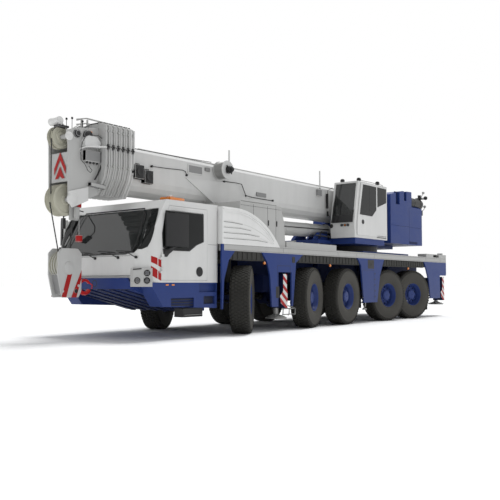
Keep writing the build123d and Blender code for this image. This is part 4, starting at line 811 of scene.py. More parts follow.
@piece("side_boxes_black", "chassis", "dark_plastic", black_metal, dark, sides=True)
def side_boxes(bm, side):
    for low_x, high_x, low_z, high_z in panel_boxes:
        centre = ((low_x + high_x) / 2, side * 1.5, (low_z + high_z) / 2)
        turned(bm, centre, (0, side, 0), ((0, 0.045), (0.006, 0.042), (0.003, 0.03)), 16, 1)
    for low_x, high_x, low_z, high_z in panel_boxes + panel_slabs:
        slab(bm, (low_x, side * panel_face, low_z), (high_x, side * deck_face, high_z))


@piece("deck_edge_lines", "chassis", "dark_plastic", shadow_gap, sides=True)
def deck_edge_lines(bm, side):
    face = side * deck_face
    behind = side * (deck_face - 0.003)
    for z in (1.905, 1.8):
        slab(bm, (-7.49, face, z), (4.22, behind, z + 0.004))
    for x in (2.1, -0.36, -1.35, -2.35, -5.85, -7.0):
        slab(bm, (x, face, 1.8), (x + 0.005, behind, 1.908))
    slab(bm, (-6.92, side * 1.39, 1.94), (-6.43, side * 1.4, 2.04))


@piece("rear_lamps", "chassis", "lamp_plastic", lens_red, lens_amber, lens_clear, black_metal)
def rear_lamps(bm):
    for side in (1, -1):
        for k, look in enumerate((0, 1, 0, 2)):
            centre = (-7.497, side * (0.7 + 0.13 * k), 1.848)
            turned(bm, centre, (-1, 0, 0), ((-0.06, 0.05), (-0.004, 0.05), (0, 0.042)), 20, look)
        slab(bm, (-7.498, side * 0.55, 1.79), (-7.44, side * 1.28, 1.91), 3)
    plate = ((-0.1, 0.98), (0.1, 0.98), (0.14, 1.1), (0.1, 1.22), (-0.1, 1.22), (-0.14, 1.1))
    prism(bm, plate, "x", -7.46, -7.4, 3)
    pipe(bm, ((-7.41, 0, 1.1), (-7.49, 0, 1.1)), 0.045, 12, 3)
    slab(bm, (-7.47, -0.45, 1.3), (-7.44, 0.45, 1.45), 3)


# Outriggers: row, place of the left jack, and height of its pad
outrigger_feet = (("front", 2.037, 0.27), ("rear", -7.232, 0.38))
jack_y = 1.235
jack_bottom = 0.52
beam_gap = 0.236
plate_outline = (
    (-0.075, 0.79), (0.075, 0.79), (0.075, 0.395), (0.203, 0.283), (0.168, 0.12), (-0.027, 0.0),
    (-0.097, 0.0), (-0.097, 0.395), (-0.075, 0.395),
)
stripe_slant = Vector((-0.62, 0.0, 0.78)).normalized()
stripe_width = 0.079


def striped_plate(bm, jack_x, side):
    """The end plate, cut into stripes that take red and white in turn."""
    corner = Vector((jack_x, side * 1.5, jack_bottom))
    bm.faces.new([bm.verts.new(corner + Vector((x, 0.0, z))) for x, z in plate_outline])
    for step in range(-4, 18):
        geometry = list(bm.verts) + list(bm.edges) + list(bm.faces)
        cut = corner + stripe_slant * (stripe_width * step)
        bmesh.ops.bisect_plane(bm, geom=geometry, plane_co=cut, plane_no=stripe_slant)
    for face in bm.faces:
        along = (face.calc_center_median() - corner).dot(stripe_slant)
        face.material_index = math.floor(along / stripe_width) % 2


def jack_foot(bm, jack_x, side, pad_z):
    centre = Vector((jack_x, side * jack_y, pad_z))
    pad = (
        (0.001, 0.235), (0.018, 0.2545), (0.032, 0.25), (0.05, 0.19), (0.06, 0.09), (0.1, 0.075), (0.11, 0.06)
    )
    turned(bm, centre, up, pad, 40)
    for k in range(8):
        turn = math.pi * k / 4 + 0.2
        reach = Vector((math.cos(turn), math.sin(turn), 0.0))
        aside = Vector((-reach.y, reach.x, 0.0)) * 0.008
        near, far = centre + reach * 0.07, centre + reach * 0.23
        low = (near + aside, far + aside, far - aside, near - aside)
        high = [point + Vector((0, 0, rise)) for point, rise in zip(low, (0.1, 0.036, 0.036, 0.1))]
        block(bm, low, high)
    rod = ((0, 0.058), (jack_bottom - pad_z - 0.062, 0.058))
    turned(bm, (jack_x, side * jack_y, pad_z + 0.06), up, rod, 24, 1)


for row, left_x, pad_z in outrigger_feet:
    for side_name, side in both_sides:
        jack_x = left_x if side > 0 else left_x + beam_gap
        word = f"{row}_{side_name}"
        add_piece(lambda bm: striped_plate(bm, jack_x, side), f"outrigger_stripes_{word}", f"beam_{word}",
                  "white_paint", red, white)
        add_piece(lambda bm: jack_foot(bm, jack_x, side, pad_z), f"outrigger_foot_{word}", f"jack_{word}",
                  "steel", galvanised, steel)

# Boom: the flat of its base section, and the collars' pitch
boom_face = 0.43
section_pitch = 0.126
collar_front = 5.96


@piece("boom_lamps", "boom_0", "dark_metal", black_metal, edge=0.008)
def boom_lamps(bm):
    for x, z, long, tall in ((5.735, 3.33, 0.24, 0.28), (5.475, 3.255, 0.23, 0.27)):
        end = x + long / 2
        top = z + tall / 2
        slab(bm, (x - long / 2, boom_face, z - tall / 2), (end, 0.553, top))
        turned(bm, (x, 0.553, z), left, ((0, 0.085), (0.012, 0.085), (0.016, 0.07), (0.006, 0.05)), 24)
        turned(bm, (end, 0.5, z), ahead, ((0, 0.04), (0.03, 0.04), (0.034, 0.02)), 16)
        slab(bm, (x - 0.05, boom_face, top), (x + 0.05, 0.5, top + 0.03))


@piece("boom_hoses", "boom_0", "dark_plastic", black_metal)
def boom_hoses(bm):
    pipe(bm, ((5.8, 0.445, 3.8), (5.0, 0.445, 3.812), (4.2, 0.445, 3.825), (3.45, 0.45, 3.845)), 0.008, 6)
    lamp_hose = (
        (5.33, 0.45, 3.505), (4.85, 0.45, 3.52), (4.4, 0.45, 3.545), (4.31, 0.45, 3.53), (4.26, 0.455, 3.456),
    )
    pipe(bm, lamp_hose, 0.008, 6)
    reel_hose = (
        (3.0, 0.452, 3.46), (2.62, 0.505, 3.462), (2.42, 0.51, 3.455), (2.26, 0.51, 3.2), (1.9, 0.452, 3.19),
        (1.1, 0.445, 3.185),
    )
    pipe(bm, reel_hose, 0.01, 6)
    for x, z in ((5.31, 3.505), (4.262, 3.45), (3.0, 3.455), (2.2, 3.2), (1.08, 3.19)):
        turned(bm, (x, boom_face, z), left, ((0, 0.024), (0.04, 0.024), (0.045, 0.012)), 12)


@piece("boom_panels", "boom_0", "grey_paint", grey_dark, edge=0.006)
def boom_panels(bm):
    for start, end, face, low, high in (
        (3.76, 4.2, 0.458, 3.52, 3.69), (3.5, 3.66, 0.47, 3.62, 3.7), (-1.2, -0.99, 0.495, 3.52, 3.7),
        (1.35, 1.75, 0.452, 3.24, 3.34),
    ):
        slab(bm, (start, boom_face, low), (end, face, high))


# Hose reel: rows of start along the axis, profile, corners and look
reel_x, reel_z = 3.18, 3.68
reel_rows = (
    (0.448, ((0, 0.212), (0.006, 0.214), (0.012, 0.214), (0.015, 0.205)), 48, 1),
    (0.46, ((0, 0.185), (0.235, 0.185)), 48, 2),
    *((0.47 + 0.025 * k, ((0, 0.192), (0.008, 0.196), (0.016, 0.192)), 36, 2) for k in range(9)),
    (0.7, ((0, 0.205), (0.004, 0.214), (0.012, 0.214), (0.018, 0.203), (0.019, 0.1)), 48, 1),
    (0.715, ((0, 0.085), (0.1, 0.08), (0.115, 0.065)), 24, 0),
    (0.82, ((0, 0.05), (0.05, 0.045), (0.055, 0.03)), 20, 0),
)


@piece("boom_reel", "boom_0", "dark_metal", black_metal, grey, galvanised)
def reel(bm):
    for y, profile, corners, look in reel_rows:
        turned(bm, (reel_x, y, reel_z), left, profile, corners, look)
    for k in range(4):
        turn = math.pi * (k / 2 + 0.25)
        tip = (reel_x + 0.125 * math.cos(turn), 0.76, reel_z + 0.125 * math.sin(turn))
        pipe(bm, ((reel_x, 0.76, reel_z), tip), 0.014)


@piece("boom_posts", "boom_0", "steel", galvanised)
def boom_posts(bm):
    for x, top in ((2.805, 4.22), (-1.17, 4.24)):
        pipe(bm, ((x, 0.442, 3.7), (x, 0.442, top)), 0.012)
        slab(bm, (x - 0.03, 0.425, 3.66), (x + 0.03, 0.458, 3.75))


@piece("boom_top_strips", "boom_0", "white_paint", boom_grey, edge=0.003)
def boom_top(bm):
    for y in (-0.3, 0.0, 0.3):
        for k in range(11):
            turned(bm, (-4.6 + 0.95 * k, y, 3.838), up, ((0, 0.03), (0.01, 0.028), (0.016, 0.012)), 10)
    for y in (-0.34, 0.34):
        slab(bm, (-4.8, y - 0.02, 3.836), (5.6, y + 0.02, 3.848))
    for x in (5.2, 3.9, 1.0, -2.4):
        slab(bm, (x - 0.15, -0.1, 3.838), (x + 0.15, 0.1, 3.875))


def collar_fittings(bm, index):
    front = collar_front + section_pitch * index
    middle = front - 0.055
    for side in (1, -1):
        for x in (front - 0.095, front - 0.02):
            slab(bm, (x - 0.014, side * 0.27, 4.185), (x + 0.014, side * 0.33, 4.225))
            slab(bm, (x - 0.014, side * 0.34, 4.185), (x + 0.014, side * 0.38, 4.215), 1)
        for half, low, high in ((0.045, 3.7, 3.725), (0.02, 3.66, 3.765)):
            slab(bm, (middle - half, side * 0.505, low), (middle + half, side * 0.545, high), 1)
        for z in (3.35, 4.02):
            turned(bm, (middle, side * 0.5, z), (0, side, 0), ((0, 0.02), (0.03, 0.02), (0.034, 0.01)), 8)


for index in range(6):
    add_piece(lambda bm: collar_fittings(bm, index), f"collar_fittings_{index}", f"boom_{index}",
              "dark_metal", galvanised, black_metal, edge=0.003)

# Boom head: upper and lower sheaves, which share one groove shape
top_x, top_z, top_radius = 7.276, 3.83, 0.215
low_x, low_z, low_radius = 7.19, 2.659, 0.3
low_rows = (-0.11, -0.037, 0.037, 0.11)
sheave_half = 0.029


def groove(radius):
    """A grooved sheave's outline: rope groove, rim, web and hub on one side, and the same mirrored."""
    half = sheave_half
    side = (
        (0.01, radius - 0.03), (0.014, radius - 0.006), (half - 0.005, radius), (half, radius - 0.004),
        (half, radius - 0.05), (half - 0.014, radius - 0.062), (half - 0.014, 0.105), (half, 0.095),
        (half, 0.052),
    )
    return [(-along, reach) for along, reach in reversed(side)] + [(0, radius - 0.036), *side]


@piece("sheaves", "boom_5", "sheave_nylon", nylon, smooth=30, replaces=("head_sheaves",))
def sheaves(bm):
    for y in (-0.06, 0.06):
        turned(bm, (top_x, y, top_z), left, groove(top_radius), 64, closed=True, capped=False)
    for y in low_rows:
        turned(bm, (low_x, y, low_z), left, groove(low_radius), 64, closed=True, capped=False)


# Chevrons on the plate at the boom head's front: half widths and heights of the tips and the ends
plate_x = 7.2835
plate_y = 0.042
chevrons = ((0.174, 3.12, 3.255, 3.405, 3.55, 0.174), (0.144, 3.05, 3.05, 3.11, 3.285, 0.06))


@piece("head_chevrons", "boom_5", "white_paint", red)
def head_chevrons(bm):
    for half, low, high, inner, tip, low_half in chevrons:
        for side in (-1, 1):
            corners = ((side * half, high), (0, tip), (0, inner), (side * low_half, low))
            bm.faces.new([bm.verts.new((plate_x, plate_y + y, z)) for y, z in corners])


@piece("head_boxes", "boom_5", "dark_metal", grey_dark, black_metal, lens_amber, grey, edge=0.006)
def head_boxes(bm):
    slab(bm, (6.6, 0.3, 3.41), (6.96, 0.392, 3.61))
    slab(bm, (6.59, 0.3, 3.405), (6.62, 0.4, 3.615), 1)
    for x in (6.9, 6.82, 6.74, 6.66):
        turned(bm, (x, 0.35, 3.41), (0, 0, -1), ((0, 0.02), (0.05, 0.018), (0.055, 0.01)), 12, 1)
    turned(bm, (6.86, 0.29, 3.9), left, ((0, 0.1), (0.06, 0.1), (0.085, 0.07), (0.09, 0.03)), 24, 1)
    turned(bm, (7.1, 0.29, 3.905), left, ((0, 0.08), (0.03, 0.08), (0.06, 0.05)), 20, 1)
    turned(bm, (6.8, 0.3, 3.96), left, ((0, 0.035), (0.04, 0.035), (0.05, 0.02)), 16, 2)
    prism(bm, ((6.83, 3.01), (6.48, 2.98), (6.48, 2.905), (6.83, 2.935)), "y", 0.3, 0.4, 3)
    slab(bm, (7.2, 0.05, 4.0), (7.44, 0.2, 4.04), 1)


@piece("head_castings", "boom_5", "white_paint", white, edge=0.012)
def head_castings(bm):
    dome = ((6.62, 3.68), (6.98, 3.68), (7.0, 3.8), (6.92, 3.89), (6.7, 3.89), (6.61, 3.8))
    prism(bm, dome, "y", 0.295, 0.4)
    prism(bm, ((6.84, 2.66), (7.2, 2.5), (7.28, 2.62), (7.28, 2.8), (6.84, 2.92)), "y", 0.285, 0.335)
    turned(bm, (low_x, 0.285, low_z), left, ((0, 0.12), (0.05, 0.115), (0.065, 0.08), (0.07, 0.03)), 28)
    turned(bm, (top_x, 0.285, top_z), left, ((0, 0.085), (0.03, 0.08), (0.04, 0.05)), 24)
    for y in (-0.13, 0.13):
        pipe(bm, ((7.2, y, 3.98), (7.36, y, 4.13)), 0.016)
    roller = ((0, 0.075), (0.02, 0.078), (0.14, 0.066), (0.26, 0.078), (0.28, 0.075))
    turned(bm, (7.36, -0.14, 4.13), left, roller, 24)


@piece("head_cables", "boom_5", "dark_plastic", black_metal)
def head_cables(bm):
    box_cable = (
        (6.56, 0.35, 3.62), (6.545, 0.37, 3.46), (6.6, 0.375, 3.3), (6.66, 0.37, 3.17), (6.71, 0.35, 3.07),
    )
    pipe(bm, box_cable, 0.016)
    upper_cable = (
        (7.04, 0.34, 3.58), (7.055, 0.41, 3.74), (6.98, 0.41, 3.86), (6.888, 0.41, 3.9), (6.673, 0.41, 3.915),
        (6.55, 0.41, 3.86), (6.487, 0.42, 3.8),
    )
    pipe(bm, upper_cable, 0.007, 6)
    lower_cable = (
        (7.04, 0.34, 3.56), (7.046, 0.36, 3.41), (6.96, 0.37, 3.33), (6.89, 0.37, 3.22), (6.83, 0.37, 3.19),
        (6.79, 0.37, 3.24), (6.87, 0.37, 3.31),
    )
    pipe(bm, lower_cable, 0.006, 6)
    pipe(bm, ((7.02, -0.29, 3.95), (7.05, -0.31, 3.6), (7.0, -0.31, 3.2), (6.95, -0.31, 2.9)), 0.008, 6)


@piece("head_guards", "boom_5", "steel", galvanised, black_metal, white)
def head_guards(bm):
    pipe(bm, ((6.88, 0, 4.24), (6.65, 0, 4.318), (6.06, 0, 4.315)), 0.01)
    pipe(bm, ((6.87, -0.28, 4.06), (6.6, -0.28, 4.25), (6.5, -0.28, 4.25)), 0.01)
    pipe(bm, ((6.94, 0.28, 4.03), (6.76, 0.28, 4.14), (6.55, 0.28, 4.21)), 0.012, look=1)
    pipe(bm, ((7.046, 0.33, 3.62), (6.98, 0.42, 3.66), (6.6, 0.56, 3.69)), 0.014, look=2)
    for x, z in ((7.13, 4.2), (7.0, 4.24), (6.75, 4.22)):
        turned(bm, (x, 0.02, z), up, ((0, 0.02), (0.03, 0.02), (0.04, 0.01)), 10, 1)
        pipe(bm, ((x, 0.02, 3.98), (x, 0.02, z)), 0.006, 6, 1)


@piece("hoist_rope", "boom_5", "dark_metal", rope_dark)
def hoist_rope(bm):
    y = 0.037
    pipe(bm, ((7.36, y, 4.05), (7.455, y, 3.93), (7.474, y, 3.78), (7.474, y, 3.45), (7.474, y, 2.75)), 0.011)


@piece("hoist_limit", "boom_5", "grey_paint", grey, red, black_metal, edge=0.004)
def hoist_limit(bm):
    slab(bm, (6.93, 0.215, 2.52), (7.02, 0.245, 2.78), 1)
    slab(bm, (7.02, 0.225, 2.3), (7.1, 0.29, 2.52))
    pipe(bm, ((6.98, 0.24, 2.56), (6.98, 0.24, 2.0)), 0.007, 6, 2)
    turned(bm, (6.98, 0.24, 1.87), up, ((0, 0.05), (0.01, 0.064), (0.12, 0.064), (0.13, 0.05)), 20, 1)
    prism(bm, ((6.96, 2.28), (7.16, 2.28), (7.16, 2.56), (7.06, 2.62), (6.96, 2.56)), "y", 0.16, 0.2)


# Hook block: cheeks, core, sheaves, warning stripes, swivel, red hook with its catch, and the falls
block_x = 7.13
block_top = 1.75
block_half = 0.158
cheek_inner = 0.122
cheek_outline = (
    (-0.29, -0.09), (-0.2, 0.0), (0.16, 0.0), (0.25, -0.09), (0.25, -0.49), (0.15, -0.92), (-0.23, -0.92),
    (-0.29, -0.8),
)
core_outline = ((-0.23, -0.2), (0.19, -0.2), (0.19, -0.47), (0.1, -0.86), (-0.23, -0.86))
hub_profile = ((-0.01, 0.13), (0.008, 0.125), (0.012, 0.09), (0.018, 0.07), (0.02, 0.03))
block_groove = ((0, 0.262), (0.006, 0.27), (0.018, 0.255), (0.03, 0.27), (0.036, 0.262))
block_stripes = (
    ((-0.285, -0.56), (-0.285, -0.4), (-0.05, -0.92), (-0.17, -0.92)),
    ((-0.1, -0.36), (0.0, -0.36), (0.165, -0.905), (0.06, -0.918)),
)


def on_block(outline):
    return [(block_x + x, block_top + z) for x, z in outline]


@piece("hook_cheeks", "hook", "white_paint", hook_grey, black_metal, nylon, grey_dark, edge=0.006,
       replaces=("hook_block",))
def hook_cheeks(bm):
    for side in (1, -1):
        out = (0, side, 0)
        near = side * (block_half - 0.004)
        prism(bm, on_block(cheek_outline), "y", side * cheek_inner, side * block_half)
        turned(bm, (block_x, side * block_half, 1.38), out, hub_profile)
        turned(bm, (block_x - 0.16, near, 0.95), out, ((0, 0.05), (0.012, 0.045)), 20, 1)
        for x, z in on_block(((-0.22, -0.12), (0.22, -0.12), (-0.22, -0.7), (0.14, -0.8))):
            turned(bm, (x, near, z), out, ((0, 0.028), (0.014, 0.026)), 12)
    prism(bm, on_block(core_outline), "y", -cheek_inner, cheek_inner, 3)
    for y in low_rows:
        turned(bm, (block_x, y - 0.018, 1.44), left, block_groove, 40, 2)


@piece("hook_stripes", "hook", "white_paint", red, sides=True)
def hook_stripes(bm, side):
    for outline in block_stripes:
        bm.faces.new([bm.verts.new((x, side * (block_half + 0.0025), z)) for x, z in on_block(outline)])


hook_centre = Vector((6.65, 0.0, 1.03))
hook_reach = 0.1275
hook_steps = 26


@piece("red_hook", "hook", "white_paint", bright_red, replaces=("hook_block",))
def red_hook(bm):
    rings = []
    for k in range(hook_steps + 1):
        turn = math.radians(-150 + 300.0 * k / hook_steps)
        thick = 0.041 * (1.0 - 0.55 * (k / hook_steps) ** 3)
        out = Vector((math.cos(turn), 0.0, math.sin(turn)))
        rings.append(ring_of(bm, hook_centre + out * hook_reach, out * thick, Vector((0.0, 0.043, 0.0)), 10))
    skin(bm, rings, capped=True)
    prism(bm, ((6.745, 1.14), (6.95, 1.15), (6.95, 0.98), (6.765, 0.99)), "y", -0.044, 0.044)
    pipe(bm, ((6.56, 0, 1.12), (6.5, 0.05, 1.06), (6.52, 0.06, 0.99)), 0.012)


# The falls leave the head's lower sheaves where the rope's middle runs, one in front and one behind
rope_reach = low_radius + 0.012


@piece("hoist_falls", "hook", "dark_metal", rope_dark, replaces=("hook_block",))
def hoist_falls(bm):
    for front, y in ((1, 0.037), (-1, -0.037)):
        start = Vector((block_x + front * 0.15, y, block_top - 0.121))
        run = Vector((low_x, y, low_z)) - start
        lean = math.atan2(run.x, run.z) + front * math.asin(rope_reach / run.length)
        reach = math.sqrt(run.length_squared - rope_reach ** 2)
        pipe(bm, (start, start + Vector((math.sin(lean), 0.0, math.cos(lean))) * reach), 0.0115)


# Luffing cylinder: bands and a pipe on the barrel, from its foot to its eye
luff_foot = Vector((-2.35, 0.0, 2.62))
luff_run = (Vector((1.88, 0.0, 2.55)) - luff_foot).normalized()


@piece("luff_bands", "cylinder_barrel", "grey_paint", boom_grey, black_metal)
def luff_bands(bm):
    bands = ((0.16, 0.06, 0.2), (1.2, 0.05, 0.198), (2.4, 0.05, 0.198), (3.76, 0.1, 0.204))
    for start, long, radius in bands:
        band = ((0, radius - 0.012), (0.008, radius), (long - 0.008, radius), (long, radius - 0.012))
        turned(bm, luff_foot + luff_run * start, luff_run, band, 48)
    aside = Vector((0.0, 0.205, 0.03))
    pipe(bm, [luff_foot + luff_run * reach + aside for reach in (0.3, 1.5, 2.8, 3.7)], 0.012, look=1)


# Operator's cab: outer side, leaning front, and the windows' outlines
op_left = 1.35
op_foot_x, op_foot_z = -1.45, 2.785
op_lean = (op_foot_x + 1.83) / (3.95 - op_foot_z)
op_door_window = ((-2.702, 3.209), (-2.457, 3.016), (-1.759, 3.019), (-1.955, 3.855), (-2.714, 3.855))
op_rear_window = ((-3.39, 3.478), (-2.85, 3.307), (-2.85, 3.87), (-3.39, 3.87))


@piece("operator_door_trim", "operator_door", "dark_glass", black_metal, door_glass)
def operator_door(bm):
    window_band(bm, op_door_window, op_left + 0.0345, 0.018)
    prism(bm, op_door_window, "y", op_left + 0.0305, op_left + 0.0335, 1)
    turned(bm, (-1.925, op_left + 0.028, 2.81), left, ((0, 0.066), (0.012, 0.062), (0.013, 0.001)), 28)
    slab(bm, (-1.96, op_left + 0.03, 2.8), (-1.89, op_left + 0.042, 2.82))
    slab(bm, (-2.345, op_left + 0.031, 3.02), (-2.315, op_left + 0.036, 3.855))


@piece("operator_cab_trim", "upper", "dark_plastic", black_metal, galvanised, door_glass)
def operator_cab(bm):
    window_band(bm, op_rear_window, op_left + 0.004, 0.016)
    prism(bm, op_rear_window, "y", op_left + 0.001, op_left + 0.003, 2)
    slab(bm, (-2.8, op_left - 0.005, 2.42), (-2.792, op_left + 0.003, 3.3))
    slab(bm, (-3.36, op_left - 0.01, 3.905), (-2.82, op_left + 0.004, 3.925))
    slab(bm, (-3.38, op_left - 0.02, 2.405), (-2.82, op_left + 0.004, 2.455))
    for x, y in ((-1.95, 0.72), (-2.0, 1.22), (-3.0, 1.28)):
        lamp = ((-0.06, 0.03), (-0.03, 0.055), (0.03, 0.06), (0.036, 0.05))
        turned(bm, (x, y, 4.02), (1, 0, -0.25), lamp, 20)
        pipe(bm, ((x - 0.02, y, 3.94), (x - 0.02, y, 4.0)), 0.01, 6)
    pipe(bm, ((-2.0, 1.25, 4.0), (-2.6, 1.27, 4.005), (-3.3, 1.27, 4.0), (-3.44, 1.27, 3.93)), 0.01, 6, 1)
    slab(bm, (-1.66, 0.98, 2.7), (-1.455, 1.005, 2.73))


def op_front(y, z, lift=0.004):
    """A point on the operator's leaning windscreen."""
    return (op_foot_x - (z - op_foot_z) * op_lean + lift, y, z)


@piece("operator_screen_trim", "upper", "dark_plastic", black_metal)
def operator_screen(bm):
    corners = ((0.64, 2.79, -1, -1), (1.295, 2.79, 1, -1), (1.295, 3.89, 1, 1), (0.64, 3.89, -1, 1))
    inner = [op_front(y - 0.03 * turn_y, z - 0.03 * turn_z) for y, z, turn_y, turn_z in corners]
    outer = [op_front(y + 0.012 * turn_y, z + 0.012 * turn_z) for y, z, turn_y, turn_z in corners]
    block(bm, inner, outer, capped=False)
    strip = ((0.66, 2.8), (1.28, 2.8), (1.28, 2.99), (0.66, 2.99))
    bm.faces.new([bm.verts.new(op_front(y, z, 0.006)) for y, z in strip])
    pipe(bm, (op_front(0.8, 2.8, 0.03), op_front(0.86, 3.05, 0.02), op_front(0.86, 3.55, 0.015)), 0.009, 6)
    rail = ((0.69, 2.8, 0.04), (0.66, 3.2, 0.05), (0.66, 3.75, 0.04), (0.7, 3.88, 0.01))
    pipe(bm, [op_front(*spot) for spot in rail], 0.014)


@piece("operator_lamps", "upper", "lamp_plastic", black_metal, lens_dark, lens_amber)
def operator_lamps(bm):
    for y, look in ((0.96, 1), (1.07, 2), (1.16, 1)):
        bezel = ((-0.02, 0.036), (0.008, 0.036), (0.012, 0.028), (0.004, 0.022))
        turned(bm, (-1.462, y, 2.705), (1, 0, 0.1), bezel, 20)
        turned(bm, (-1.458, y, 2.705), (1, 0, 0.1), ((0, 0.022), (0.006, 0.018)), 16, look)
    turned(bm, (-1.5, 0.62, 2.7), (1, -0.3, 0), ((-0.03, 0.045), (0.01, 0.06), (0.02, 0.05)), 20)
    pipe(bm, ((-1.5, 0.62, 2.7), (-1.62, 0.66, 2.78)), 0.012, 6)


@piece("operator_mirror", "upper", "dark_plastic", black_metal, edge=0.004)
def operator_mirror(bm):
    pipe(bm, ((-1.62, 0.58, 3.8), (-1.5, 0.5, 3.72), (-1.48, 0.48, 3.1), (-1.55, 0.54, 2.95)), 0.01, 6)
    prism(bm, ((-1.5, 0.44), (-1.46, 0.46), (-1.44, 0.53), (-1.47, 0.54)), "z", 3.2, 3.62)
    prism(bm, ((-1.5, 0.46), (-1.46, 0.48), (-1.45, 0.53), (-1.48, 0.54)), "z", 2.98, 3.12)


# Superstructure: cheek ribs, hoses and the ring's bolts
slew_x = -3.45


@piece("upper_ribs", "upper", "blue_paint", blue, edge=0.005, sides=True)
def upper_ribs(bm, side):
    for x in (-4.4, -3.9, -3.2, -2.7):
        slab(bm, (x - 0.012, side * 0.455, 2.31), (x + 0.012, side * 0.565, 2.62))
    pivot = ((0, 0.17), (0.012, 0.165), (0.014, 0.1), (0.035, 0.095), (0.04, 0.05))
    turned(bm, (-4.9, side * 0.51, 3.3), (0, side, 0), pivot)
    turned(bm, (-2.35, side * 0.3, 2.62), (0, side, 0), ((0, 0.08), (0.02, 0.075)), 24)
    nose = ((-1.6, 2.31), (-0.98, 2.31), (-1.02, 2.36), (-1.2, 2.52), (-1.6, 2.56))
    prism(bm, nose, "y", side * 0.3, side * 0.42)


@piece("upper_hoses", "upper", "dark_plastic", black_metal)
def upper_hoses(bm):
    for k in range(5):
        y = 0.32 + 0.035 * k
        hose = ((-1.05 - 0.02 * k, 2.34), (-1.2, 2.45 + 0.02 * k), (-1.7, 2.5), (-2.3, 2.42), (-3.2, 2.36))
        pipe(bm, [(x, y, z) for x, z in hose], 0.013, 6)
    pipe(bm, ((-1.5, 0.58, 2.38), (-1.2, 0.55, 2.4), (-1.02, 0.4, 2.42)), 0.02)


@piece("slew_ring_bands", "chassis", "dark_metal", black_metal)
def ring_bands(bm):
    for k in range(48):
        turn = math.tau * k / 48
        centre = (slew_x + 0.86 * math.cos(turn), 0.86 * math.sin(turn), 1.99)
        turned(bm, centre, up, ((0, 0.018), (0.02, 0.018)), 6)
    for z in (2.02, 2.1, 2.17):
        turned(bm, (slew_x, 0, z), up, ((0, 0.895), (0.006, 0.902), (0.018, 0.902), (0.024, 0.895)), 72)


# Counterweight: plate joints, lifting lugs, silencer shell and rear lamps on arms
@piece("weight_joints", "upper", "dark_plastic", deep_blue, sides=True)
def weight_joints(bm, side):
    for near, far, start, end, low, high in (
        (1.3765, 1.3725, -4.92, -4.916, 2.4, 3.46), (1.3, 1.29, -4.33, -4.05, 3.52, 3.9),
        (1.3, 1.29, -4.74, -4.58, 3.67, 3.93), (1.3765, 1.3725, -5.5, -4.9, 2.33, 2.4),
    ):
        slab(bm, (start, side * near, low), (end, side * far, high))


@piece("weight_lugs", "upper", "blue_paint", blue, edge=0.008, sides=True)
def weight_lugs(bm, side):
    for x in (-4.0, -5.2):
        lug = ((x - 0.09, 3.88), (x + 0.09, 3.88), (x + 0.05, 4.0), (x - 0.05, 4.0))
        prism(bm, lug, "y", side * 0.85 - 0.02, side * 0.85 + 0.02)
    slab(bm, (-5.8, side * 0.75, 2.62), (-5.7, side * 1.25, 2.7))


silencer_profile = (
    (0, 0.1), (0.002, 0.15), (0.02, 0.172), (0.16, 0.174), (0.165, 0.18), (0.185, 0.18), (0.19, 0.174),
    (0.6, 0.174), (0.605, 0.18), (0.625, 0.18), (0.63, 0.174), (0.86, 0.174), (0.9, 0.168),
)


@piece("silencer_shell", "upper", "dark_metal", black_metal, galvanised)
def silencer(bm):
    turned(bm, (-6.03, 1.19, 3.655), ahead, silencer_profile, 40)
    cap = ((0, 0.168), (0.02, 0.176), (0.035, 0.16), (0.036, 0.1))
    turned(bm, (-5.115, 1.19, 3.655), ahead, cap, 40, 1)
    pipe(bm, ((-5.98, 1.19, 3.66), (-6.06, 1.19, 3.7), (-6.1, 1.19, 3.86), (-6.1, 1.19, 3.98)), 0.055, 16)
    slab(bm, (-6.04, 1.2, 3.3), (-5.87, 1.33, 3.46))
    slab(bm, (-5.98, 1.1, 3.46), (-5.9, 1.3, 3.5))


@piece("rear_arms", "upper", "dark_metal", black_metal, galvanised)
def rear_arms(bm):
    pipe(bm, ((-5.9, 1.15, 3.86), (-6.2, 1.2, 3.9), (-6.42, 1.25, 3.92)), 0.012)
    pipe(bm, ((-6.2, 1.2, 3.9), (-6.28, 1.24, 4.06)), 0.01, 6)
    pipe(bm, ((-6.05, 1.25, 3.42), (-6.25, 1.28, 3.52), (-6.3, 1.28, 3.62)), 0.01, 6)
    lamp = ((-0.04, 0.03), (-0.02, 0.06), (0.03, 0.062), (0.034, 0.05))
    turned(bm, (-6.44, 1.25, 3.92), (-1, 0.2, 0), lamp, 20)
    turned(bm, (-6.29, 1.24, 4.08), (-1, 0.2, 0.1), ((-0.03, 0.03), (0, 0.045), (0.02, 0.045)), 16, 1)
    turned(bm, (-6.3, 1.28, 3.62), (-1, 0.3, 0), ((-0.03, 0.03), (0, 0.05), (0.02, 0.05)), 16, 1)
    slab(bm, (-6.1, 1.02, 3.83), (-5.88, 1.34, 3.855))


@piece("drum_rope", "winch", "dark_metal", rope_dark)
def drum_rope(bm):
    for k in range(24):
        wind = ((0, 0.15), (0.006, 0.16), (0.018, 0.16), (0.024, 0.15))
        turned(bm, (-5.68, -0.315 + 0.0265 * k, 2.95), left, wind)


# Under the deck: drive shafts between the axles, air tanks, struts and steering rods
shaft_z = 0.76


@piece("drive_shafts", "chassis", "dark_metal", black_metal)
def drive_shafts(bm):
    for (_, front, *_), (_, rear, *_) in zip(axle_rows, axle_rows[1:]):
        pipe(bm, ((front - 0.22, 0, shaft_z), (rear + 0.22, 0, shaft_z)), 0.055, 16)
        for x in (front - 0.26, rear + 0.26):
            joint = ((-0.05, 0.06), (-0.03, 0.085), (0.03, 0.085), (0.05, 0.06))
            turned(bm, (x, 0, shaft_z), ahead, joint, 16)


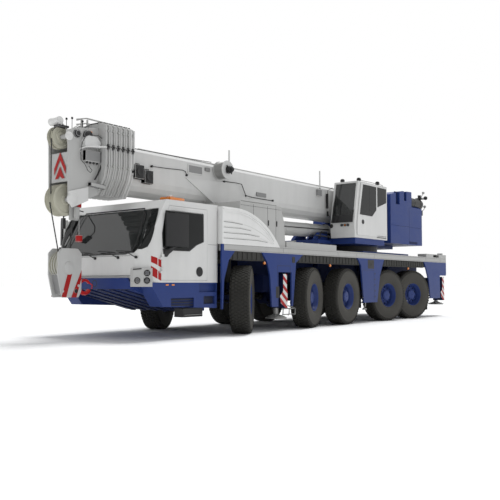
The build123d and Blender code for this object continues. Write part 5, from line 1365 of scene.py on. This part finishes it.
@piece("tanks_and_struts", "chassis", "dark_metal", deep_blue, black_metal, sides=True)
def tanks_and_struts(bm, side):
    for x, y in ((2.1, 0.7), (-2.25, 0.75)):
        tank = ((0, 0.06), (0.02, 0.12), (0.05, 0.14), (0.35, 0.14), (0.38, 0.12), (0.4, 0.06))
        turned(bm, (x, side * y, 1.18), ahead, tank, 28)
    for _, x, *_ in axle_rows:
        for along in (-0.16, 0.16):
            strut = ((0, 0.058), (0.02, 0.062), (0.24, 0.062), (0.26, 0.05))
            turned(bm, (x + along, side * 0.62, 0.86), up, strut, 20, 1)
        pipe(bm, ((x + 0.13, side * 0.3, 0.7), (x + 0.13, side * 1.0, 0.7)), 0.024, 10, 1)


@piece("side_steps", "chassis", "steel", galvanised, sides=True)
def side_steps(bm, side):
    for z in (0.7, 1.0, 1.3):
        pipe(bm, ((-2.08, side * 1.48, z), (-1.7, side * 1.48, z)), 0.014)
    pipe(bm, ((-1.95, side * 1.42, 0.66), (-1.95, side * 1.42, 0.46), (-1.92, side * 1.38, 0.4)), 0.016)
    slab(bm, (-2.02, side * 1.36, 0.36), (-1.88, side * 1.42, 0.4))


# Step box under the cab, mud flaps behind the last wheels, steel carriers at the front jacks
@piece("step_box", "chassis", "dark_plastic", black_metal, galvanised, edge=0.004)
def step_box(bm):
    slab(bm, (4.72, 1.1, 0.425), (5.3, 1.34, 0.6))
    slab(bm, (4.75, 1.335, 0.46), (5.27, 1.355, 0.475), 1)


@piece("low_gear", "chassis", "dark_plastic", black_metal, galvanised, edge=0.004, sides=True)
def mud_flaps(bm, side):
    slab(bm, (-6.07, side * 0.98, 0.24), (-6.045, side * 1.44, 0.98))
    slab(bm, (-6.09, side * 0.96, 0.9), (-6.04, side * 1.46, 0.94), 1)


@piece("pad_carrier", "beam_front_{}", "steel", galvanised, pair=True)
def pad_carrier(bm, side):
    y = side * 1.39
    start = 1.42 if side > 0 else 1.68
    for x in (start + 0.04, 0.5 * (start + 2.0), 1.96):
        pipe(bm, ((x, y, 0.5), (x + 0.01, y, 0.365), (x + 0.05, y, 0.345)), 0.013)
    pipe(bm, ((start, y, 0.5), (2.02, y, 0.5)), 0.016)
    pipe(bm, ((start + 0.04, y, 0.365), (1.98, y, 0.365)), 0.013)
    for x in (start, 2.02):
        pipe(bm, ((x, y, 0.5), (1.95, side * 1.3, 0.62), (2.0, side * 1.24, 0.8)), 0.014)


scene = bpy.context.scene
scene.view_settings.view_transform = "Standard"


def put(name, data, aim=None):
    """An object in the scene that looks along aim."""
    obj = bpy.data.objects.new(name, data)
    scene.collection.objects.link(obj)
    if aim:
        obj.rotation_euler = Vector(aim).to_track_quat("-Z", "Y").to_euler()
    return obj


camera_data = bpy.data.cameras.new("camera")
camera_data.sensor_width = 36.0
camera_data.lens = 50.0
camera_data.clip_end = 500.0
scene.camera = put("camera", camera_data, (-0.7874, -0.6145, 0.0474))
scene.camera.location = (15.279, 10.8, 1.102)

floor_half = 150.0
floor_mesh = bpy.data.meshes.new("floor")
floor_corners = [(x * floor_half, y * floor_half, 0.0) for x, y in ((-1, -1), (1, -1), (1, 1), (-1, 1))]
floor_mesh.from_pydata(floor_corners, [], [(0, 1, 2, 3)])
pale = (0.9, 0.9, 0.9)
floor_mesh.materials.append(plain("floor_look", pale, rough=0.95, spread=0.999, bump=0.02, gloss=0.0))
put("floor", floor_mesh)

# World: plain white behind and in reflections, softer light on the object
world = bpy.data.worlds.new("world")
scene.world = world
world.use_nodes = True
sky = world.node_tree
sky.nodes.clear()
rays = add_node(sky, "LightPath", {}).outputs
plain_white = rays["Is Camera Ray"]
for kind in ("Is Transmission Ray", "Is Glossy Ray"):
    plain_white = add_node(sky, "Math", {0: plain_white, 1: rays[kind]}, operation="MAXIMUM").outputs["Value"]
soft = add_node(sky, "Background", {"Color": (0.97, 0.985, 1.0, 1.0), "Strength": 0.59})
bright = add_node(sky, "Background", {"Color": (1.0, 1.0, 1.0, 1.0), "Strength": 1.0})
backs = {"Fac": plain_white, 1: soft.outputs["Background"], 2: bright.outputs["Background"]}
mixed = add_node(sky, "MixShader", backs)
add_node(sky, "OutputWorld", {"Surface": mixed.outputs["Shader"]})

# One soft sun from above, a little from behind
sun_data = bpy.data.lights.new("sun", "SUN")
sun_data.energy = 2.15
sun_data.angle = math.radians(24)
put("sun", sun_data, (0.38, -0.02, -1.0))
